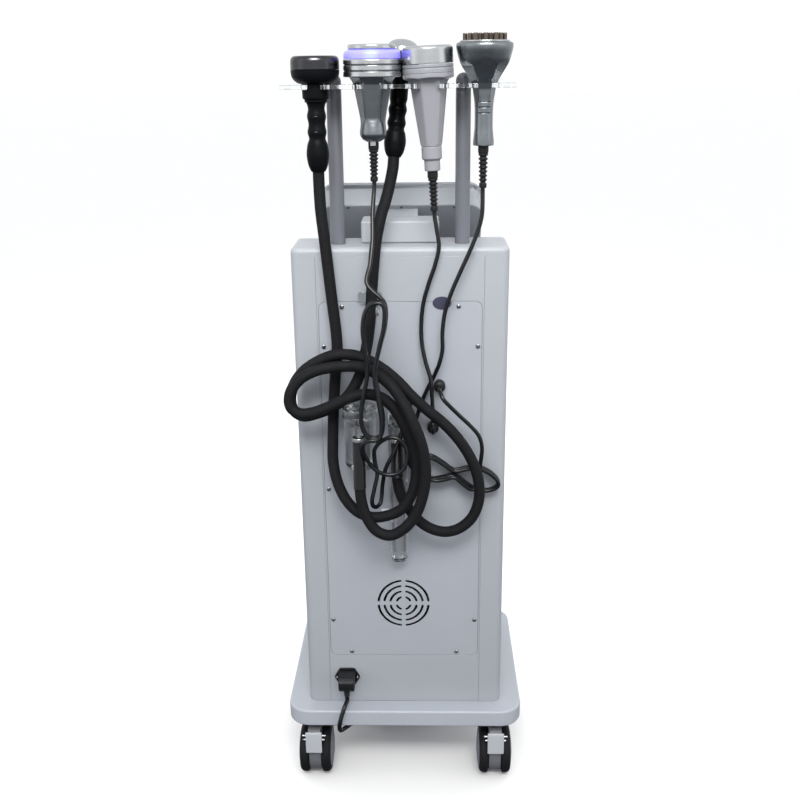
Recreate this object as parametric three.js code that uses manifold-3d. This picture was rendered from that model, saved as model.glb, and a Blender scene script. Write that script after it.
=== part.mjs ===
// Cavitation slimming machine: a cabinet on casters with five corded handpieces in a clear holder.
// Millimetres. +Z is up, +Y is the machine's front and X runs to the right when its rear is faced.

import * as THREE from "three";
import { mergeVertices } from "three/addons/utils/BufferGeometryUtils.js";
import Module from "manifold-3d";

const wasm = await Module();
wasm.setup();

// Driving dimensions
const cabinetWidth = 310;
const cabinetDepth = 270;
const cabinetTop = 875;
const cabinetCorner = 12;
const flatTopDepth = 92;
const deckFrontHeight = 710;
const sheet = 2.5;
const baseWidth = 376;
const baseDepth = 328;
const baseThickness = 28;
const baseCorner = 35;
const casterHeight = 105;
const wheelDiameter = 80;
const columnDiameter = 21;
const columnSpacing = 178;
const columnRow = -98;
const columnSeat = 18;
const columnShoulder = 2.6;
const plateUnderside = 1088.5;
const plateThickness = 6;
const hoseDiameter = 16;
const cordDiameter = 6;
const mainsDiameter = 7;

// Clearances
const gap = 0.3;
const overrun = 5;
const weldTolerance = 0.0001;

const rear = -cabinetDepth / 2;
const front = cabinetDepth / 2;
const baseTop = casterHeight + baseThickness;
const plateTop = plateUnderside + plateThickness;
const rightAngle = Math.PI / 2;
const fullTurn = Math.PI * 2;

// Rounds are cut into this many sides
const sides = { wheel: 16, round: 16, small: 8, cord: 8, arc: 2 };

// Colours and finishes
function finish(color, roughness, metalness = 0, opacity = 1) {
  return new THREE.MeshStandardMaterial({ color, roughness, metalness, opacity, transparent: opacity < 1 });
}

const materials = {
  cabinet: finish(0xc9ccd6, 0.45),
  board: finish(0xd6d9e2, 0.4),
  column: finish(0xa9adb8, 0.4),
  acrylic: finish(0xe8eef2, 0.1, 0, 0.4),
  screen: finish(0x14161a, 0.12),
  tyre: finish(0x17181b, 0.6),
  fork: finish(0xb9bcc2, 0.45),
  pedal: finish(0xe6e8ea, 0.4),
  black: finish(0x121316, 0.4),
  darkMetal: finish(0x55575b, 0.3, 0.9),
  steel: finish(0xbfc3c6, 0.25, 0.95),
  chrome: finish(0xd8dadc, 0.08, 1),
  silver: finish(0xa7acb0, 0.35, 0.6),
  gunmetal: finish(0x6b6058, 0.35, 0.8),
  white: finish(0xd9dae0, 0.4),
  glow: finish(0x9a9cff, 0.3),
  clear: finish(0xdfe5ea, 0.1, 0, 0.4),
  hose: finish(0x15161a, 0.75),
  cord: finish(0x0d0e10, 0.35),
  inside: finish(0x8f959c, 0.5),
};

// Solids and booleans

function solid(geometry) {
  const bare = geometry.clone();
  bare.deleteAttribute("normal");
  bare.deleteAttribute("uv");
  const merged = mergeVertices(bare, weldTolerance);
  const index = merged.index.array;
  const kept = [];
  for (let i = 0; i < index.length; i += 3) {
    const [a, b, c] = [index[i], index[i + 1], index[i + 2]];
    if (a !== b && b !== c && c !== a) kept.push(a, b, c);
  }
  return new wasm.Manifold(new wasm.Mesh({
    numProp: 3,
    vertProperties: merged.attributes.position.array,
    triVerts: Uint32Array.from(kept),
  }));
}

function geometryOf(manifold) {
  const mesh = manifold.getMesh();
  const geometry = new THREE.BufferGeometry();
  geometry.setAttribute("position", new THREE.BufferAttribute(Float32Array.from(mesh.vertProperties), 3));
  geometry.setIndex(Array.from(mesh.triVerts));
  geometry.computeVertexNormals();
  return geometry;
}

function cut(body, tools) {
  return geometryOf(tools.reduce((rest, tool) => rest.subtract(solid(tool)), solid(body)));
}

function join(pieces) {
  return geometryOf(pieces.slice(1).reduce((sum, piece) => sum.add(solid(piece)), solid(pieces[0])));
}

function common(first, second) {
  return geometryOf(solid(first).intersect(solid(second)));
}

// Geometry in the machine's axes

function box([x0, x1], [y0, y1], [z0, z1]) {
  return new THREE.BoxGeometry(x1 - x0, y1 - y0, z1 - z0)
    .translate((x0 + x1) / 2, (y0 + y1) / 2, (z0 + z1) / 2);
}

function around(centre, size) {
  return [centre - size / 2, centre + size / 2];
}

function roundedRectangle(width, height, radius, x = 0, y = 0) {
  const outline = new THREE.Shape();
  const reachX = width / 2 - radius;
  const reachY = height / 2 - radius;
  outline.absarc(x + reachX, y - reachY, radius, -rightAngle, 0);
  outline.absarc(x + reachX, y + reachY, radius, 0, rightAngle);
  outline.absarc(x - reachX, y + reachY, radius, rightAngle, Math.PI);
  outline.absarc(x - reachX, y - reachY, radius, Math.PI, Math.PI + rightAngle);
  outline.closePath();
  return outline;
}

// A round hole for an outline, in four quarters
function roundHole(x, y, radius) {
  const hole = new THREE.Path();
  for (let quarter = 0; quarter < 4; quarter += 1) {
    hole.absarc(x, y, radius, -rightAngle * quarter, -rightAngle * (quarter + 1), true);
  }
  return hole;
}

function polygon(points) {
  return new THREE.Shape(points.map(([x, y]) => new THREE.Vector2(x, y)));
}

// A plan outline raised from a height
function raised(shape, bottom, top, curveSegments = sides.arc) {
  return new THREE.ExtrudeGeometry(shape, { depth: top - bottom, bevelEnabled: false, curveSegments })
    .translate(0, 0, bottom);
}

// An outline in X and Z that is given a depth in Y
function upright(shape, [y0, y1], curveSegments = sides.arc) {
  return new THREE.ExtrudeGeometry(shape, { depth: y1 - y0, bevelEnabled: false, curveSegments })
    .rotateX(rightAngle)
    .translate(0, y1, 0);
}

// An outline in Y and Z that is given a width in X
function sideways(shape, [x0, x1], curveSegments = sides.arc) {
  return new THREE.ExtrudeGeometry(shape, { depth: x1 - x0, bevelEnabled: false, curveSegments })
    .rotateX(rightAngle)
    .rotateZ(rightAngle)
    .translate(x0, 0, 0);
}

// A profile of radius and height turned round Z
function turned(profile, count = sides.round) {
  const points = profile.map(([radius, height]) => new THREE.Vector2(radius, height));
  return new THREE.LatheGeometry(points, count).rotateX(rightAngle);
}

function rod(radius, [z0, z1], count = sides.small) {
  return turned([[0, z0], [radius, z0], [radius, z1], [0, z1]], count);
}

function alongX(geometry) {
  return geometry.rotateY(rightAngle);
}

function alongY(geometry) {
  return geometry.rotateX(-rightAngle);
}

// A quarter of a rounded edge, from the side of the disc to its top
function roundedEdge(radius, top, edge, steps = 4) {
  const points = [];
  for (let step = 0; step <= steps; step += 1) {
    const angle = rightAngle * step / steps;
    points.push([radius - edge + edge * Math.cos(angle), top - edge + edge * Math.sin(angle)]);
  }
  return points;
}

// Cords and hoses

// A curve that is sampled by its own parameter, so that its steps stay on the chosen points
class ChosenCurve extends THREE.CatmullRomCurve3 {
  getPointAt(share, target) {
    return this.getPoint(share, target);
  }

  getTangentAt(share, target) {
    return this.getTangent(share, target);
  }
}

function section(radius, count) {
  const points = [];
  for (let corner = 0; corner < count; corner += 1) {
    const angle = fullTurn * corner / count;
    points.push([radius * Math.cos(angle), radius * Math.sin(angle)]);
  }
  return polygon(points);
}

function vectors(points) {
  return points.map(([x, y, z]) => new THREE.Vector3(x, y, z));
}

function tube(points, diameter, { steps, count = sides.cord }) {
  const extrudePath = new THREE.CatmullRomCurve3(vectors(points), false, "centripetal");
  return new THREE.ExtrudeGeometry(section(diameter / 2, count), { extrudePath, steps, bevelEnabled: false });
}

const loopSteps = 24;
const loopSides = 6;

function woundTube(points, diameter) {
  const extrudePath = new ChosenCurve(points, false, "centripetal");
  const options = { extrudePath, steps: points.length - 1, bevelEnabled: false };
  return new THREE.ExtrudeGeometry(section(diameter / 2, loopSides), options);
}

// Least clear distance between stretches of a wound cord that are not neighbours along it
function leastSelfGap(points, diameter) {
  const apart = Math.ceil(loopSteps / 3);
  let least = Infinity;
  for (let i = 0; i < points.length; i += 1) {
    for (let j = i + apart; j < points.length; j += 1) {
      const line = new THREE.Line3(points[j - 1], points[j]);
      const nearest = line.closestPointToPoint(points[i], true, new THREE.Vector3());
      least = Math.min(least, nearest.distanceTo(points[i]) - diameter);
    }
  }
  return least;
}

// The machine's pieces

const machine = new THREE.Group();

function add(name, geometry, material, parent = machine) {
  const mesh = new THREE.Mesh(geometry, material);
  mesh.name = name;
  parent.add(mesh);
  return mesh;
}

// Casters

const caster = {
  trail: 12,
  edgeInset: 41,
  rearPivot: -116,
  frontPivot: 128,
  overallWidth: 58,
  forkWidth: 20,
  forkRadius: 35,
  stemRadius: 5.5,
  stemLength: 18,
  neckRadius: 11,
  hubRadius: 27,
  hubDome: 3.5,
  shoulder: 7,
  axleRadius: 4,
  crownTop: 95,
  pedalWidth: 26,
  pedalThickness: 3,
  pedalTop: 97,
  pedalBottom: 58,
  pedalPinRadius: 3,
  pedalPinHeight: 88,
};
const casterSpacing = baseWidth - caster.edgeInset * 2;
const wheelRadius = wheelDiameter / 2;

function twinWheels() {
  const half = caster.overallWidth / 2;
  const inner = caster.forkWidth / 2 + gap * 3;
  const side = half - caster.hubDome;
  const wheel = [
    [caster.axleRadius, inner],
    [wheelRadius - caster.shoulder / 2, inner],
    [wheelRadius, inner + caster.shoulder / 3],
    [wheelRadius, side - caster.shoulder],
    [wheelRadius - caster.shoulder / 2, side - caster.shoulder / 4],
    [caster.hubRadius, side],
    [caster.hubRadius / 2, half - caster.hubDome / 4],
    [0, half],
  ];
  const mirrored = wheel.map(([radius, reach]) => [radius, -reach]).reverse();
  return alongX(turned([...mirrored, ...wheel], sides.wheel));
}

function casterFork() {
  const clear = caster.axleRadius + gap;
  const disc = alongX(rod(caster.forkRadius, around(0, caster.forkWidth), sides.round))
    .translate(0, -caster.trail, wheelRadius);
  const crown = box(
    around(0, caster.forkWidth),
    [-caster.trail - caster.forkRadius, caster.neckRadius],
    [wheelRadius, caster.crownTop],
  );
  const neck = rod(caster.neckRadius, [caster.crownTop - overrun, casterHeight - gap], sides.small);
  const stem = rod(caster.stemRadius, [caster.crownTop, casterHeight + caster.stemLength], sides.small);
  const bore = alongX(rod(clear, around(0, caster.forkWidth + overrun), sides.wheel))
    .translate(0, -caster.trail, wheelRadius);
  return cut(join([disc, crown, neck, stem]), [bore]);
}

function brakePedal() {
  const face = -caster.trail - wheelRadius - gap * 3;
  const plate = box(
    around(0, caster.pedalWidth),
    [face - caster.pedalThickness, face],
    [caster.pedalBottom, caster.pedalTop],
  );
  const tongue = box(
    around(0, caster.forkWidth),
    [face - caster.pedalThickness / 2, -caster.trail - caster.forkRadius - gap * 2],
    [caster.pedalPinHeight - caster.pedalPinRadius, caster.pedalPinHeight + caster.pedalPinRadius],
  );
  return join([plate, tongue]);
}

function addCaster(name, side, pivotY, hasBrake) {
  const place = new THREE.Group();
  place.position.set(side * casterSpacing / 2, pivotY, 0);
  machine.add(place);
  add(`caster_fork_${name}`, casterFork(), materials.fork, place);
  const wheels = add(`caster_wheels_${name}`, twinWheels(), materials.tyre, place);
  wheels.position.set(0, -caster.trail, wheelRadius);
  if (hasBrake) add(`brake_pedal_${name}`, brakePedal(), materials.pedal, place);
}

addCaster("rear_left", -1, caster.rearPivot, true);
addCaster("rear_right", 1, caster.rearPivot, true);
addCaster("front_left", -1, caster.frontPivot, false);
addCaster("front_right", 1, caster.frontPivot, false);

// Base board, with a blind hole for each caster's stem

function baseBoard() {
  const plan = roundedRectangle(baseWidth, baseDepth, baseCorner);
  const holes = [];
  for (const side of [-1, 1]) {
    for (const pivotY of [caster.rearPivot, caster.frontPivot]) {
      const depth = casterHeight + caster.stemLength + gap;
      holes.push(rod(caster.stemRadius + gap, [casterHeight - overrun, depth], sides.round)
        .translate(side * casterSpacing / 2, pivotY, 0));
    }
  }
  return cut(raised(plan, casterHeight, baseTop), holes);
}

add("base_board", baseBoard(), materials.board);

// Cabinet shells

const cabinet = {
  sideWrap: 35,
  rearThickness: 4,
  servicePocket: 2.3,
  serviceLip: 12,
  coverThickness: 3,
};
const seam = cabinetWidth / 2 - cabinet.sideWrap;
const shellFloor = baseTop + gap;
const flatTopEnd = rear + flatTopDepth;

// The cover's upper line in Y and Z, lowered by a drop, and carried past the cabinet at both ends
function coverLine(drop) {
  const slope = (deckFrontHeight - cabinetTop) / (front - flatTopEnd);
  return [
    [rear - overrun, cabinetTop - drop],
    [flatTopEnd, cabinetTop - drop],
    [front + overrun, deckFrontHeight - drop + slope * overrun],
  ];
}

function spaceAboveCover(drop) {
  const ceiling = cabinetTop + overrun;
  const line = coverLine(drop);
  const top = [[front + overrun, ceiling], [rear - overrun, ceiling]];
  return sideways(polygon([...line, ...top]), around(0, cabinetWidth + overrun * 2));
}

const shellDrop = cabinet.coverThickness + gap;

function sidePanel(side) {
  const half = cabinetWidth / 2;
  const inner = cabinetCorner - sheet;
  const plan = new THREE.Shape();
  plan.moveTo(-seam, rear);
  plan.lineTo(-seam, rear + sheet);
  plan.absarc(-half + cabinetCorner, rear + cabinetCorner, inner, -rightAngle, -Math.PI, true);
  plan.absarc(-half + cabinetCorner, front - cabinetCorner, inner, Math.PI, rightAngle, true);
  plan.lineTo(-seam, front - sheet);
  plan.lineTo(-seam, front);
  plan.absarc(-half + cabinetCorner, front - cabinetCorner, cabinetCorner, rightAngle, Math.PI);
  plan.absarc(-half + cabinetCorner, rear + cabinetCorner, cabinetCorner, Math.PI, Math.PI + rightAngle);
  const wall = raised(plan, shellFloor, cabinetTop);
  if (side > 0) wall.rotateZ(Math.PI);
  return cut(wall, [spaceAboveCover(shellDrop)]);
}

add("side_panel_left", sidePanel(-1), materials.cabinet);
add("side_panel_right", sidePanel(1), materials.cabinet);

function topCover() {
  const upper = coverLine(0);
  const lower = coverLine(cabinet.coverThickness).reverse();
  const strip = sideways(polygon([...lower, ...upper].reverse()), around(0, cabinetWidth + overrun));
  const plan = roundedRectangle(cabinetWidth, cabinetDepth, cabinetCorner);
  const prism = raised(plan, deckFrontHeight - overrun * 2, cabinetTop + overrun);
  const holes = [-1, 1].map((side) => (
    rod(columnDiameter / 2 + gap, around(cabinetTop, overrun * 3), sides.round)
      .translate(side * columnSpacing / 2, columnRow, 0)
  ));
  return cut(common(strip, prism), holes);
}

add("top_cover", topCover(), materials.cabinet);

// Service panel with its grille and plug holes, seated in the rear frame's pocket

const service = {
  frameShow: 3,
  bottom: 219.5,
  top: 797.5,
  corner: 10,
  grilleHeight: 312.5,
  slotWidth: 3.6,
  slotRadii: [11.1, 20.7, 30.2, 39.3],
  spoke: 5.5,
};
const serviceHalfWidth = seam - service.frameShow;
const serviceHeight = service.top - service.bottom;
const serviceMiddle = (service.top + service.bottom) / 2;

const plug = {
  bodyRadius: 8.5,
  bodyLength: 13,
  neckRadius: 4.5,
  neckLength: 5,
  noseRadius: 5.7,
  noseLength: 8,
};
const plugPlaces = {
  pin: { x: 56.2, z: 673.4 },
  white: { x: 46.6, z: 609.6 },
  cavitation: { x: 14, z: 655 },
};

function grilleSlots() {
  const slots = [];
  const half = service.slotWidth / 2;
  for (const radius of service.slotRadii) {
    const trim = (service.spoke / 2 + half) / radius;
    for (let quarter = 0; quarter < 4; quarter += 1) {
      const from = rightAngle * quarter + trim;
      const to = rightAngle * (quarter + 1) - trim;
      const slot = new THREE.Path();
      slot.absarc(0, service.grilleHeight, radius + half, from, to);
      slot.absarc(0, service.grilleHeight, radius - half, to, from, true);
      slot.closePath();
      slots.push(slot);
    }
  }
  return slots;
}

function servicePanel() {
  const outline = roundedRectangle(serviceHalfWidth * 2, serviceHeight, service.corner, 0, serviceMiddle);
  outline.holes.push(...grilleSlots());
  for (const { x, z } of Object.values(plugPlaces)) {
    outline.holes.push(roundHole(x, z, plug.noseRadius + gap));
  }
  return upright(outline, [rear, rear + cabinet.servicePocket - gap]);
}

add("service_panel", servicePanel(), materials.cabinet);

const inlet = {
  fromSeam: 28,
  height: 180,
  flangeWidth: 42,
  flangeHeight: 31,
  flangeFlat: 24,
  flangeThickness: 3,
  bodyWidth: 26.4,
  bodyHeight: 19.4,
  bodyDepth: 24,
};
const inletX = inlet.fromSeam - seam;

function rearFrame() {
  const half = seam - gap;
  const ceiling = cabinetTop - shellDrop;
  const wall = box([-half, half], [rear, rear + cabinet.rearThickness], [shellFloor, ceiling]);
  const pocketPlan = roundedRectangle(
    (serviceHalfWidth + gap) * 2,
    serviceHeight + gap * 2,
    service.corner + gap,
    0,
    serviceMiddle,
  );
  const pocket = upright(pocketPlan, [rear - overrun, rear + cabinet.servicePocket]);
  const openingPlan = roundedRectangle(
    (serviceHalfWidth - cabinet.serviceLip) * 2,
    serviceHeight - cabinet.serviceLip * 2,
    service.corner,
    0,
    serviceMiddle,
  );
  const opening = upright(openingPlan, [rear - overrun, rear + cabinet.rearThickness + overrun]);
  const inletHole = box(
    around(inletX, inlet.bodyWidth + gap * 2),
    around(rear, cabinet.rearThickness * 4),
    around(inlet.height, inlet.bodyHeight + gap * 2),
  );
  return cut(wall, [pocket, opening, inletHole]);
}

add("rear_frame", rearFrame(), materials.cabinet);

function frontPanel() {
  const half = seam - gap;
  const wall = box([-half, half], [front - sheet, front], [shellFloor, cabinetTop]);
  return cut(wall, [spaceAboveCover(shellDrop)]);
}

add("front_panel", frontPanel(), materials.cabinet);

// Mains inlet

function inletSocket() {
  const half = inlet.flangeWidth / 2;
  const flat = inlet.flangeFlat / 2;
  const reach = inlet.flangeHeight / 2;
  const upper = [[half, 0], [flat, reach], [-flat, reach]];
  const hexagon = polygon([...upper, ...upper.map(([x, z]) => [-x, -z])]);
  const face = rear - gap;
  const flange = upright(hexagon, [face - inlet.flangeThickness, face]).translate(inletX, 0, inlet.height);
  const body = box(
    around(inletX, inlet.bodyWidth),
    [face - inlet.flangeThickness / 2, face + inlet.bodyDepth],
    around(inlet.height, inlet.bodyHeight),
  );
  return join([flange, body]);
}

add("inlet_socket", inletSocket(), materials.black);

// Fan behind the grille

const fan = {
  size: 92,
  depth: 25,
  corner: 4,
  boreRadius: 43,
  hubRadius: 17,
  hubDepth: 17,
  bladeReach: 41,
  bladeThickness: 2,
  bladeWidth: 16,
  bladeCount: 7,
  strut: 4,
  plateDepth: 3,
};
const fanRear = rear + cabinet.servicePocket;
const fanFront = fanRear + fan.depth;

function fanHousing() {
  const ring = roundedRectangle(fan.size, fan.size, fan.corner, 0, service.grilleHeight);
  ring.holes.push(roundHole(0, service.grilleHeight, fan.boreRadius));
  const mountDepth = [fanFront - fan.plateDepth, fanFront];
  const mount = alongY(rod(fan.hubRadius, mountDepth, sides.round)).translate(0, 0, service.grilleHeight);
  const pieces = [upright(ring, [fanRear, fanFront]), mount];
  for (let arm = 0; arm < 3; arm += 1) {
    const reach = fan.boreRadius + fan.strut / 2;
    pieces.push(box([0, reach], mountDepth, around(0, fan.strut))
      .rotateY(fullTurn * arm / 3)
      .translate(0, 0, service.grilleHeight));
  }
  return join(pieces);
}

function fanRotor() {
  const depth = [fanFront - fan.plateDepth - gap - fan.hubDepth, fanFront - fan.plateDepth - gap];
  const pieces = [alongY(rod(fan.hubRadius, depth, sides.round))];
  const middle = (depth[0] + depth[1]) / 2;
  const tilt = Math.PI / 4;
  for (let blade = 0; blade < fan.bladeCount; blade += 1) {
    pieces.push(box([0, fan.bladeReach], around(0, fan.bladeWidth), around(0, fan.bladeThickness))
      .rotateX(tilt)
      .rotateY(fullTurn * blade / fan.bladeCount)
      .translate(0, middle, 0));
  }
  return join(pieces).translate(0, 0, service.grilleHeight);
}

add("fan_housing", fanHousing(), materials.black);
add("fan_rotor", fanRotor(), materials.black);

// Power supply and vacuum pump inside the cabinet

const supply = { x: -62, y: 10, width: 110, depth: 170, height: 52, lidRise: 3, slotCount: 5, slotWidth: 4 };

function powerSupply() {
  const low = shellFloor;
  const can = box(around(supply.x, supply.width), around(supply.y, supply.depth), [low, low + supply.height]);
  const slots = [];
  for (let i = 0; i < supply.slotCount; i += 1) {
    const y = supply.y + (i - (supply.slotCount - 1) / 2) * supply.slotWidth * 3;
    slots.push(box(
      around(supply.x, supply.width - supply.height),
      around(y, supply.slotWidth),
      [low + supply.height - supply.lidRise, low + supply.height + overrun],
    ));
  }
  return cut(can, slots);
}

add("power_supply", powerSupply(), materials.steel);

const pump = {
  x: 62,
  y: 10,
  radius: 34,
  length: 96,
  headWidth: 58,
  headLength: 42,
  footHeight: 10,
  footSink: 10,
  portRadius: 5,
  portHeight: 15,
};

function vacuumPump() {
  const axis = shellFloor + pump.footHeight + pump.radius;
  const low = pump.y - (pump.length + pump.headLength) / 2;
  const motor = alongY(rod(pump.radius, [0, pump.length], sides.round)).translate(pump.x, low, axis);
  const head = box(
    around(pump.x, pump.headWidth),
    [low + pump.length - overrun, low + pump.length + pump.headLength],
    [shellFloor + pump.footHeight, axis + pump.headWidth / 2],
  );
  const foot = box(
    around(pump.x, pump.radius * 2),
    [low, low + pump.length + pump.headLength],
    [shellFloor, axis - pump.radius + pump.footSink],
  );
  const port = rod(pump.portRadius, [axis, axis + pump.headWidth / 2 + pump.portHeight])
    .translate(pump.x, low + pump.length + pump.headLength / 2, 0);
  return join([motor, head, foot, port]);
}

add("vacuum_pump", vacuumPump(), materials.inside);

// Columns and the holder plate

function column() {
  const radius = columnDiameter / 2;
  const top = plateTop + columnShoulder + radius;
  return turned([
    [0, cabinetTop - columnSeat],
    [radius, cabinetTop - columnSeat],
    ...roundedEdge(radius, top, radius),
  ], sides.round);
}

for (const side of [-1, 1]) {
  const name = side < 0 ? "column_left" : "column_right";
  add(name, column(), materials.column).position.set(side * columnSpacing / 2, columnRow, 0);
}

const holder = {
  halfWidth: 157,
  rearEdge: -163,
  frontEdge: -52,
  corner: 14,
  row: -140,
};

// Each handpiece's place in the row and the hole and slot that the plate has for it
const places = {
  vacuum: { x: -109.4, y: holder.row, hole: 19.3, mouth: 18 },
  cavitation: { x: -33.5, y: holder.row, hole: 26.8, mouth: 22 },
  small: { x: 1.8, y: -88, hole: 17.8, mouth: 20 },
  white: { x: 41.3, y: holder.row, hole: 27, mouth: 22 },
  pin: { x: 115, y: holder.row, hole: 19.8, mouth: 18 },
};

function holderPlate() {
  const middle = (holder.rearEdge + holder.frontEdge) / 2;
  const depth = holder.frontEdge - holder.rearEdge;
  const plan = roundedRectangle(holder.halfWidth * 2, depth, holder.corner, 0, middle);
  const span = [plateUnderside - overrun, plateTop + overrun];
  const tools = [];
  for (const place of Object.values(places)) {
    tools.push(rod(place.hole, span, sides.wheel).translate(place.x, place.y, 0));
    const opensRear = place.y === holder.row;
    const reach = opensRear ? [holder.rearEdge - overrun, place.y] : [place.y, holder.frontEdge + overrun];
    tools.push(box(around(place.x, place.mouth), reach, span));
  }
  for (const side of [-1, 1]) {
    const hole = rod(columnDiameter / 2 + gap, span, sides.round);
    tools.push(hole.translate(side * columnSpacing / 2, columnRow, 0));
  }
  return cut(raised(plan, plateUnderside, plateTop), tools);
}

add("holder_plate", holderPlate(), materials.acrylic);

// Neck box and display, joined by the tilt pin

const display = {
  width: 244,
  height: 170,
  thickness: 46,
  corner: 22,
  steeper: 6.17,
  glassInset: 7,
  glassThickness: 3,
  pinY: -22,
  pinHeight: 893,
  backOffset: 18.6,
  topOffset: 18.3,
  pinRadius: 5,
  lugWidth: 50,
  lugRadius: 10,
};
const neck = { width: 112, rearFace: -98, frontFace: -42, height: 31, cheekWidth: 8, cheekRadius: 10 };

function neckBox() {
  const low = cabinetTop + gap;
  const body = box(around(0, neck.width), [neck.rearFace, neck.frontFace], [low, low + neck.height]);
  const pieces = [body];
  for (const side of [-1, 1]) {
    const inner = display.lugWidth / 2 + gap * 2;
    const reach = side < 0 ? [-inner - neck.cheekWidth, -inner] : [inner, inner + neck.cheekWidth];
    const rise = around(display.pinHeight, neck.cheekRadius * 2);
    pieces.push(box(reach, [neck.frontFace - overrun, display.pinY], rise));
    pieces.push(alongX(rod(neck.cheekRadius, reach)).translate(0, display.pinY, display.pinHeight));
  }
  const pinReach = around(0, display.lugWidth + neck.cheekWidth * 2);
  pieces.push(alongX(rod(display.pinRadius, pinReach)).translate(0, display.pinY, display.pinHeight));
  return join(pieces);
}

add("neck_box", neckBox(), materials.cabinet);

// The display is drawn flat about its tilt pin: X across, Y up its face and Z out of its glass.
// It leans back from upright until it stands a little steeper than the sloped deck
const deckAngle = Math.atan2(cabinetTop - deckFrontHeight, front - flatTopEnd);
const displayPlace = new THREE.Group();
displayPlace.position.set(0, display.pinY, display.pinHeight);
displayPlace.rotation.x = rightAngle - deckAngle - THREE.MathUtils.degToRad(display.steeper);
machine.add(displayPlace);

function faceOutline(inset) {
  const middle = display.topOffset - display.height / 2;
  return roundedRectangle(
    display.width - inset * 2,
    display.height - inset * 2,
    display.corner - inset,
    0,
    middle,
  );
}

function displayHousing() {
  const back = display.backOffset;
  const faceHeight = back + display.thickness;
  const slab = raised(faceOutline(0), back, faceHeight);
  const pocketFloor = faceHeight - display.glassThickness;
  const pocket = raised(faceOutline(display.glassInset - gap), pocketFloor, faceHeight + overrun);
  const lug = alongX(rod(display.lugRadius, around(0, display.lugWidth)));
  const web = box(around(0, display.lugWidth), around(0, display.lugRadius * 2), [0, back + overrun]);
  const bore = alongX(rod(display.pinRadius + gap, around(0, display.lugWidth + overrun), sides.round));
  return cut(join([slab, lug, web]), [pocket, bore]);
}

function displayGlass() {
  const bottom = display.backOffset + display.thickness - display.glassThickness + gap;
  return raised(faceOutline(display.glassInset), bottom, bottom + display.glassThickness);
}

// The flat drawing is turned so that its glass faces the front and up
function facingFront(geometry) {
  return geometry.rotateX(rightAngle).rotateZ(Math.PI);
}

add("display_housing", facingFront(displayHousing()), materials.cabinet, displayPlace);
add("display_glass", facingFront(displayGlass()), materials.screen, displayPlace);

// Handpieces are drawn about their own axis with the plate's top face at zero

function handpiece(place) {
  const group = new THREE.Group();
  group.position.set(place.x, place.y, plateTop);
  machine.add(group);
  return group;
}

// A moulded strain relief that hangs from a handpiece's end
const relief = { topRadius: 7.2, collarRadius: 5.2, ribRadius: 5.7, grooveRadius: 3.6, collar: 7, ribs: 6 };

function strainRelief(top, length) {
  const bottom = top - length;
  const ribbed = length - relief.collar * 2.5;
  const pitch = ribbed / relief.ribs;
  const profile = [[0, bottom], [relief.collarRadius, bottom], [relief.collarRadius, bottom + relief.collar]];
  for (let rib = 0; rib < relief.ribs; rib += 1) {
    const low = bottom + relief.collar + pitch * rib;
    const radius = relief.ribRadius + (relief.topRadius - relief.ribRadius) * rib / relief.ribs;
    profile.push([relief.grooveRadius, low + pitch / 4], [radius, low + pitch * 3 / 4]);
  }
  profile.push([relief.topRadius, bottom + relief.collar + ribbed], [relief.topRadius, top], [0, top]);
  return turned(profile, sides.small);
}

// Vacuum handpiece

const vacuum = {
  headRadius: 32.5,
  bulbEnd: 113.5,
  bulbRadius: 15.2,
  gripRadius: 12.4,
  throatRadius: 18.4,
  stepRadius: 15.5,
  cupTop: 18.9,
  ringTop: 36.5,
  ringEdge: 5,
  mouthRadius: 20,
  mouthDepth: 11,
};

// Profile points as shares of a radius and of a height
const bulbShares = [[0.63, 1], [0.87, 0.93], [1, 0.83], [1, 0.77], [0.9, 0.68]];
const ribShares = [[0.92, 0.62], [1.02, 0.54], [0.92, 0.45], [1.02, 0.36], [0.92, 0.28], [1, 0.22]];
const vacuumStepShares = [[1, -1.15], [1, -1]];
const vacuumThroatShares = [[0.97, -0.9]];
const vacuumCupShares = [[0.72, 0.05], [0.88, 0.3], [0.98, 0.65], [1, 1]];

function scaled(shares, radius, height) {
  return shares.map(([radiusShare, heightShare]) => [radius * radiusShare, height * heightShare]);
}

// Grip shared by both hosed handpieces: a bulb, two finger ribs and a collar up to the plate
function gripProfile({ bulbEnd, bulbRadius, gripRadius }) {
  const bulb = scaled(bulbShares, bulbRadius, -bulbEnd);
  return [[0, -bulbEnd], ...bulb, ...scaled(ribShares, gripRadius, -bulbEnd)];
}

function vacuumGrip() {
  const { headRadius, throatRadius, stepRadius, cupTop } = vacuum;
  return turned([
    ...gripProfile(vacuum),
    ...scaled(vacuumStepShares, stepRadius, cupTop),
    ...scaled(vacuumThroatShares, throatRadius, cupTop),
    [throatRadius, gap],
    ...scaled(vacuumCupShares, headRadius, cupTop),
    [0, cupTop],
  ]);
}

function vacuumRing() {
  const { headRadius, cupTop, ringTop, ringEdge, mouthRadius, mouthDepth } = vacuum;
  const bottom = cupTop + gap;
  return turned([
    [0, bottom],
    [headRadius, bottom],
    ...roundedEdge(headRadius, ringTop, ringEdge),
    [mouthRadius, ringTop],
    [mouthRadius, ringTop - mouthDepth],
    [0, ringTop - mouthDepth],
  ]);
}

const vacuumPlace = handpiece(places.vacuum);
add("vacuum_grip", vacuumGrip(), materials.black, vacuumPlace);
add("vacuum_ring", vacuumRing(), materials.darkMetal, vacuumPlace);

// Cavitation handpiece

const cavitation = {
  headRadius: 38.5,
  bodyTop: 8.6,
  bodyBottom: 74.8,
  throatRadius: 26,
  bulbRadius: 17.9,
  waistRadius: 17,
  bandTop: 31.6,
  ringTop: 43,
  faceTop: 50,
  faceRadius: 32,
  stemRadius: 20,
  groove: 1.5,
  reliefLength: 52.7,
};

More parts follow.
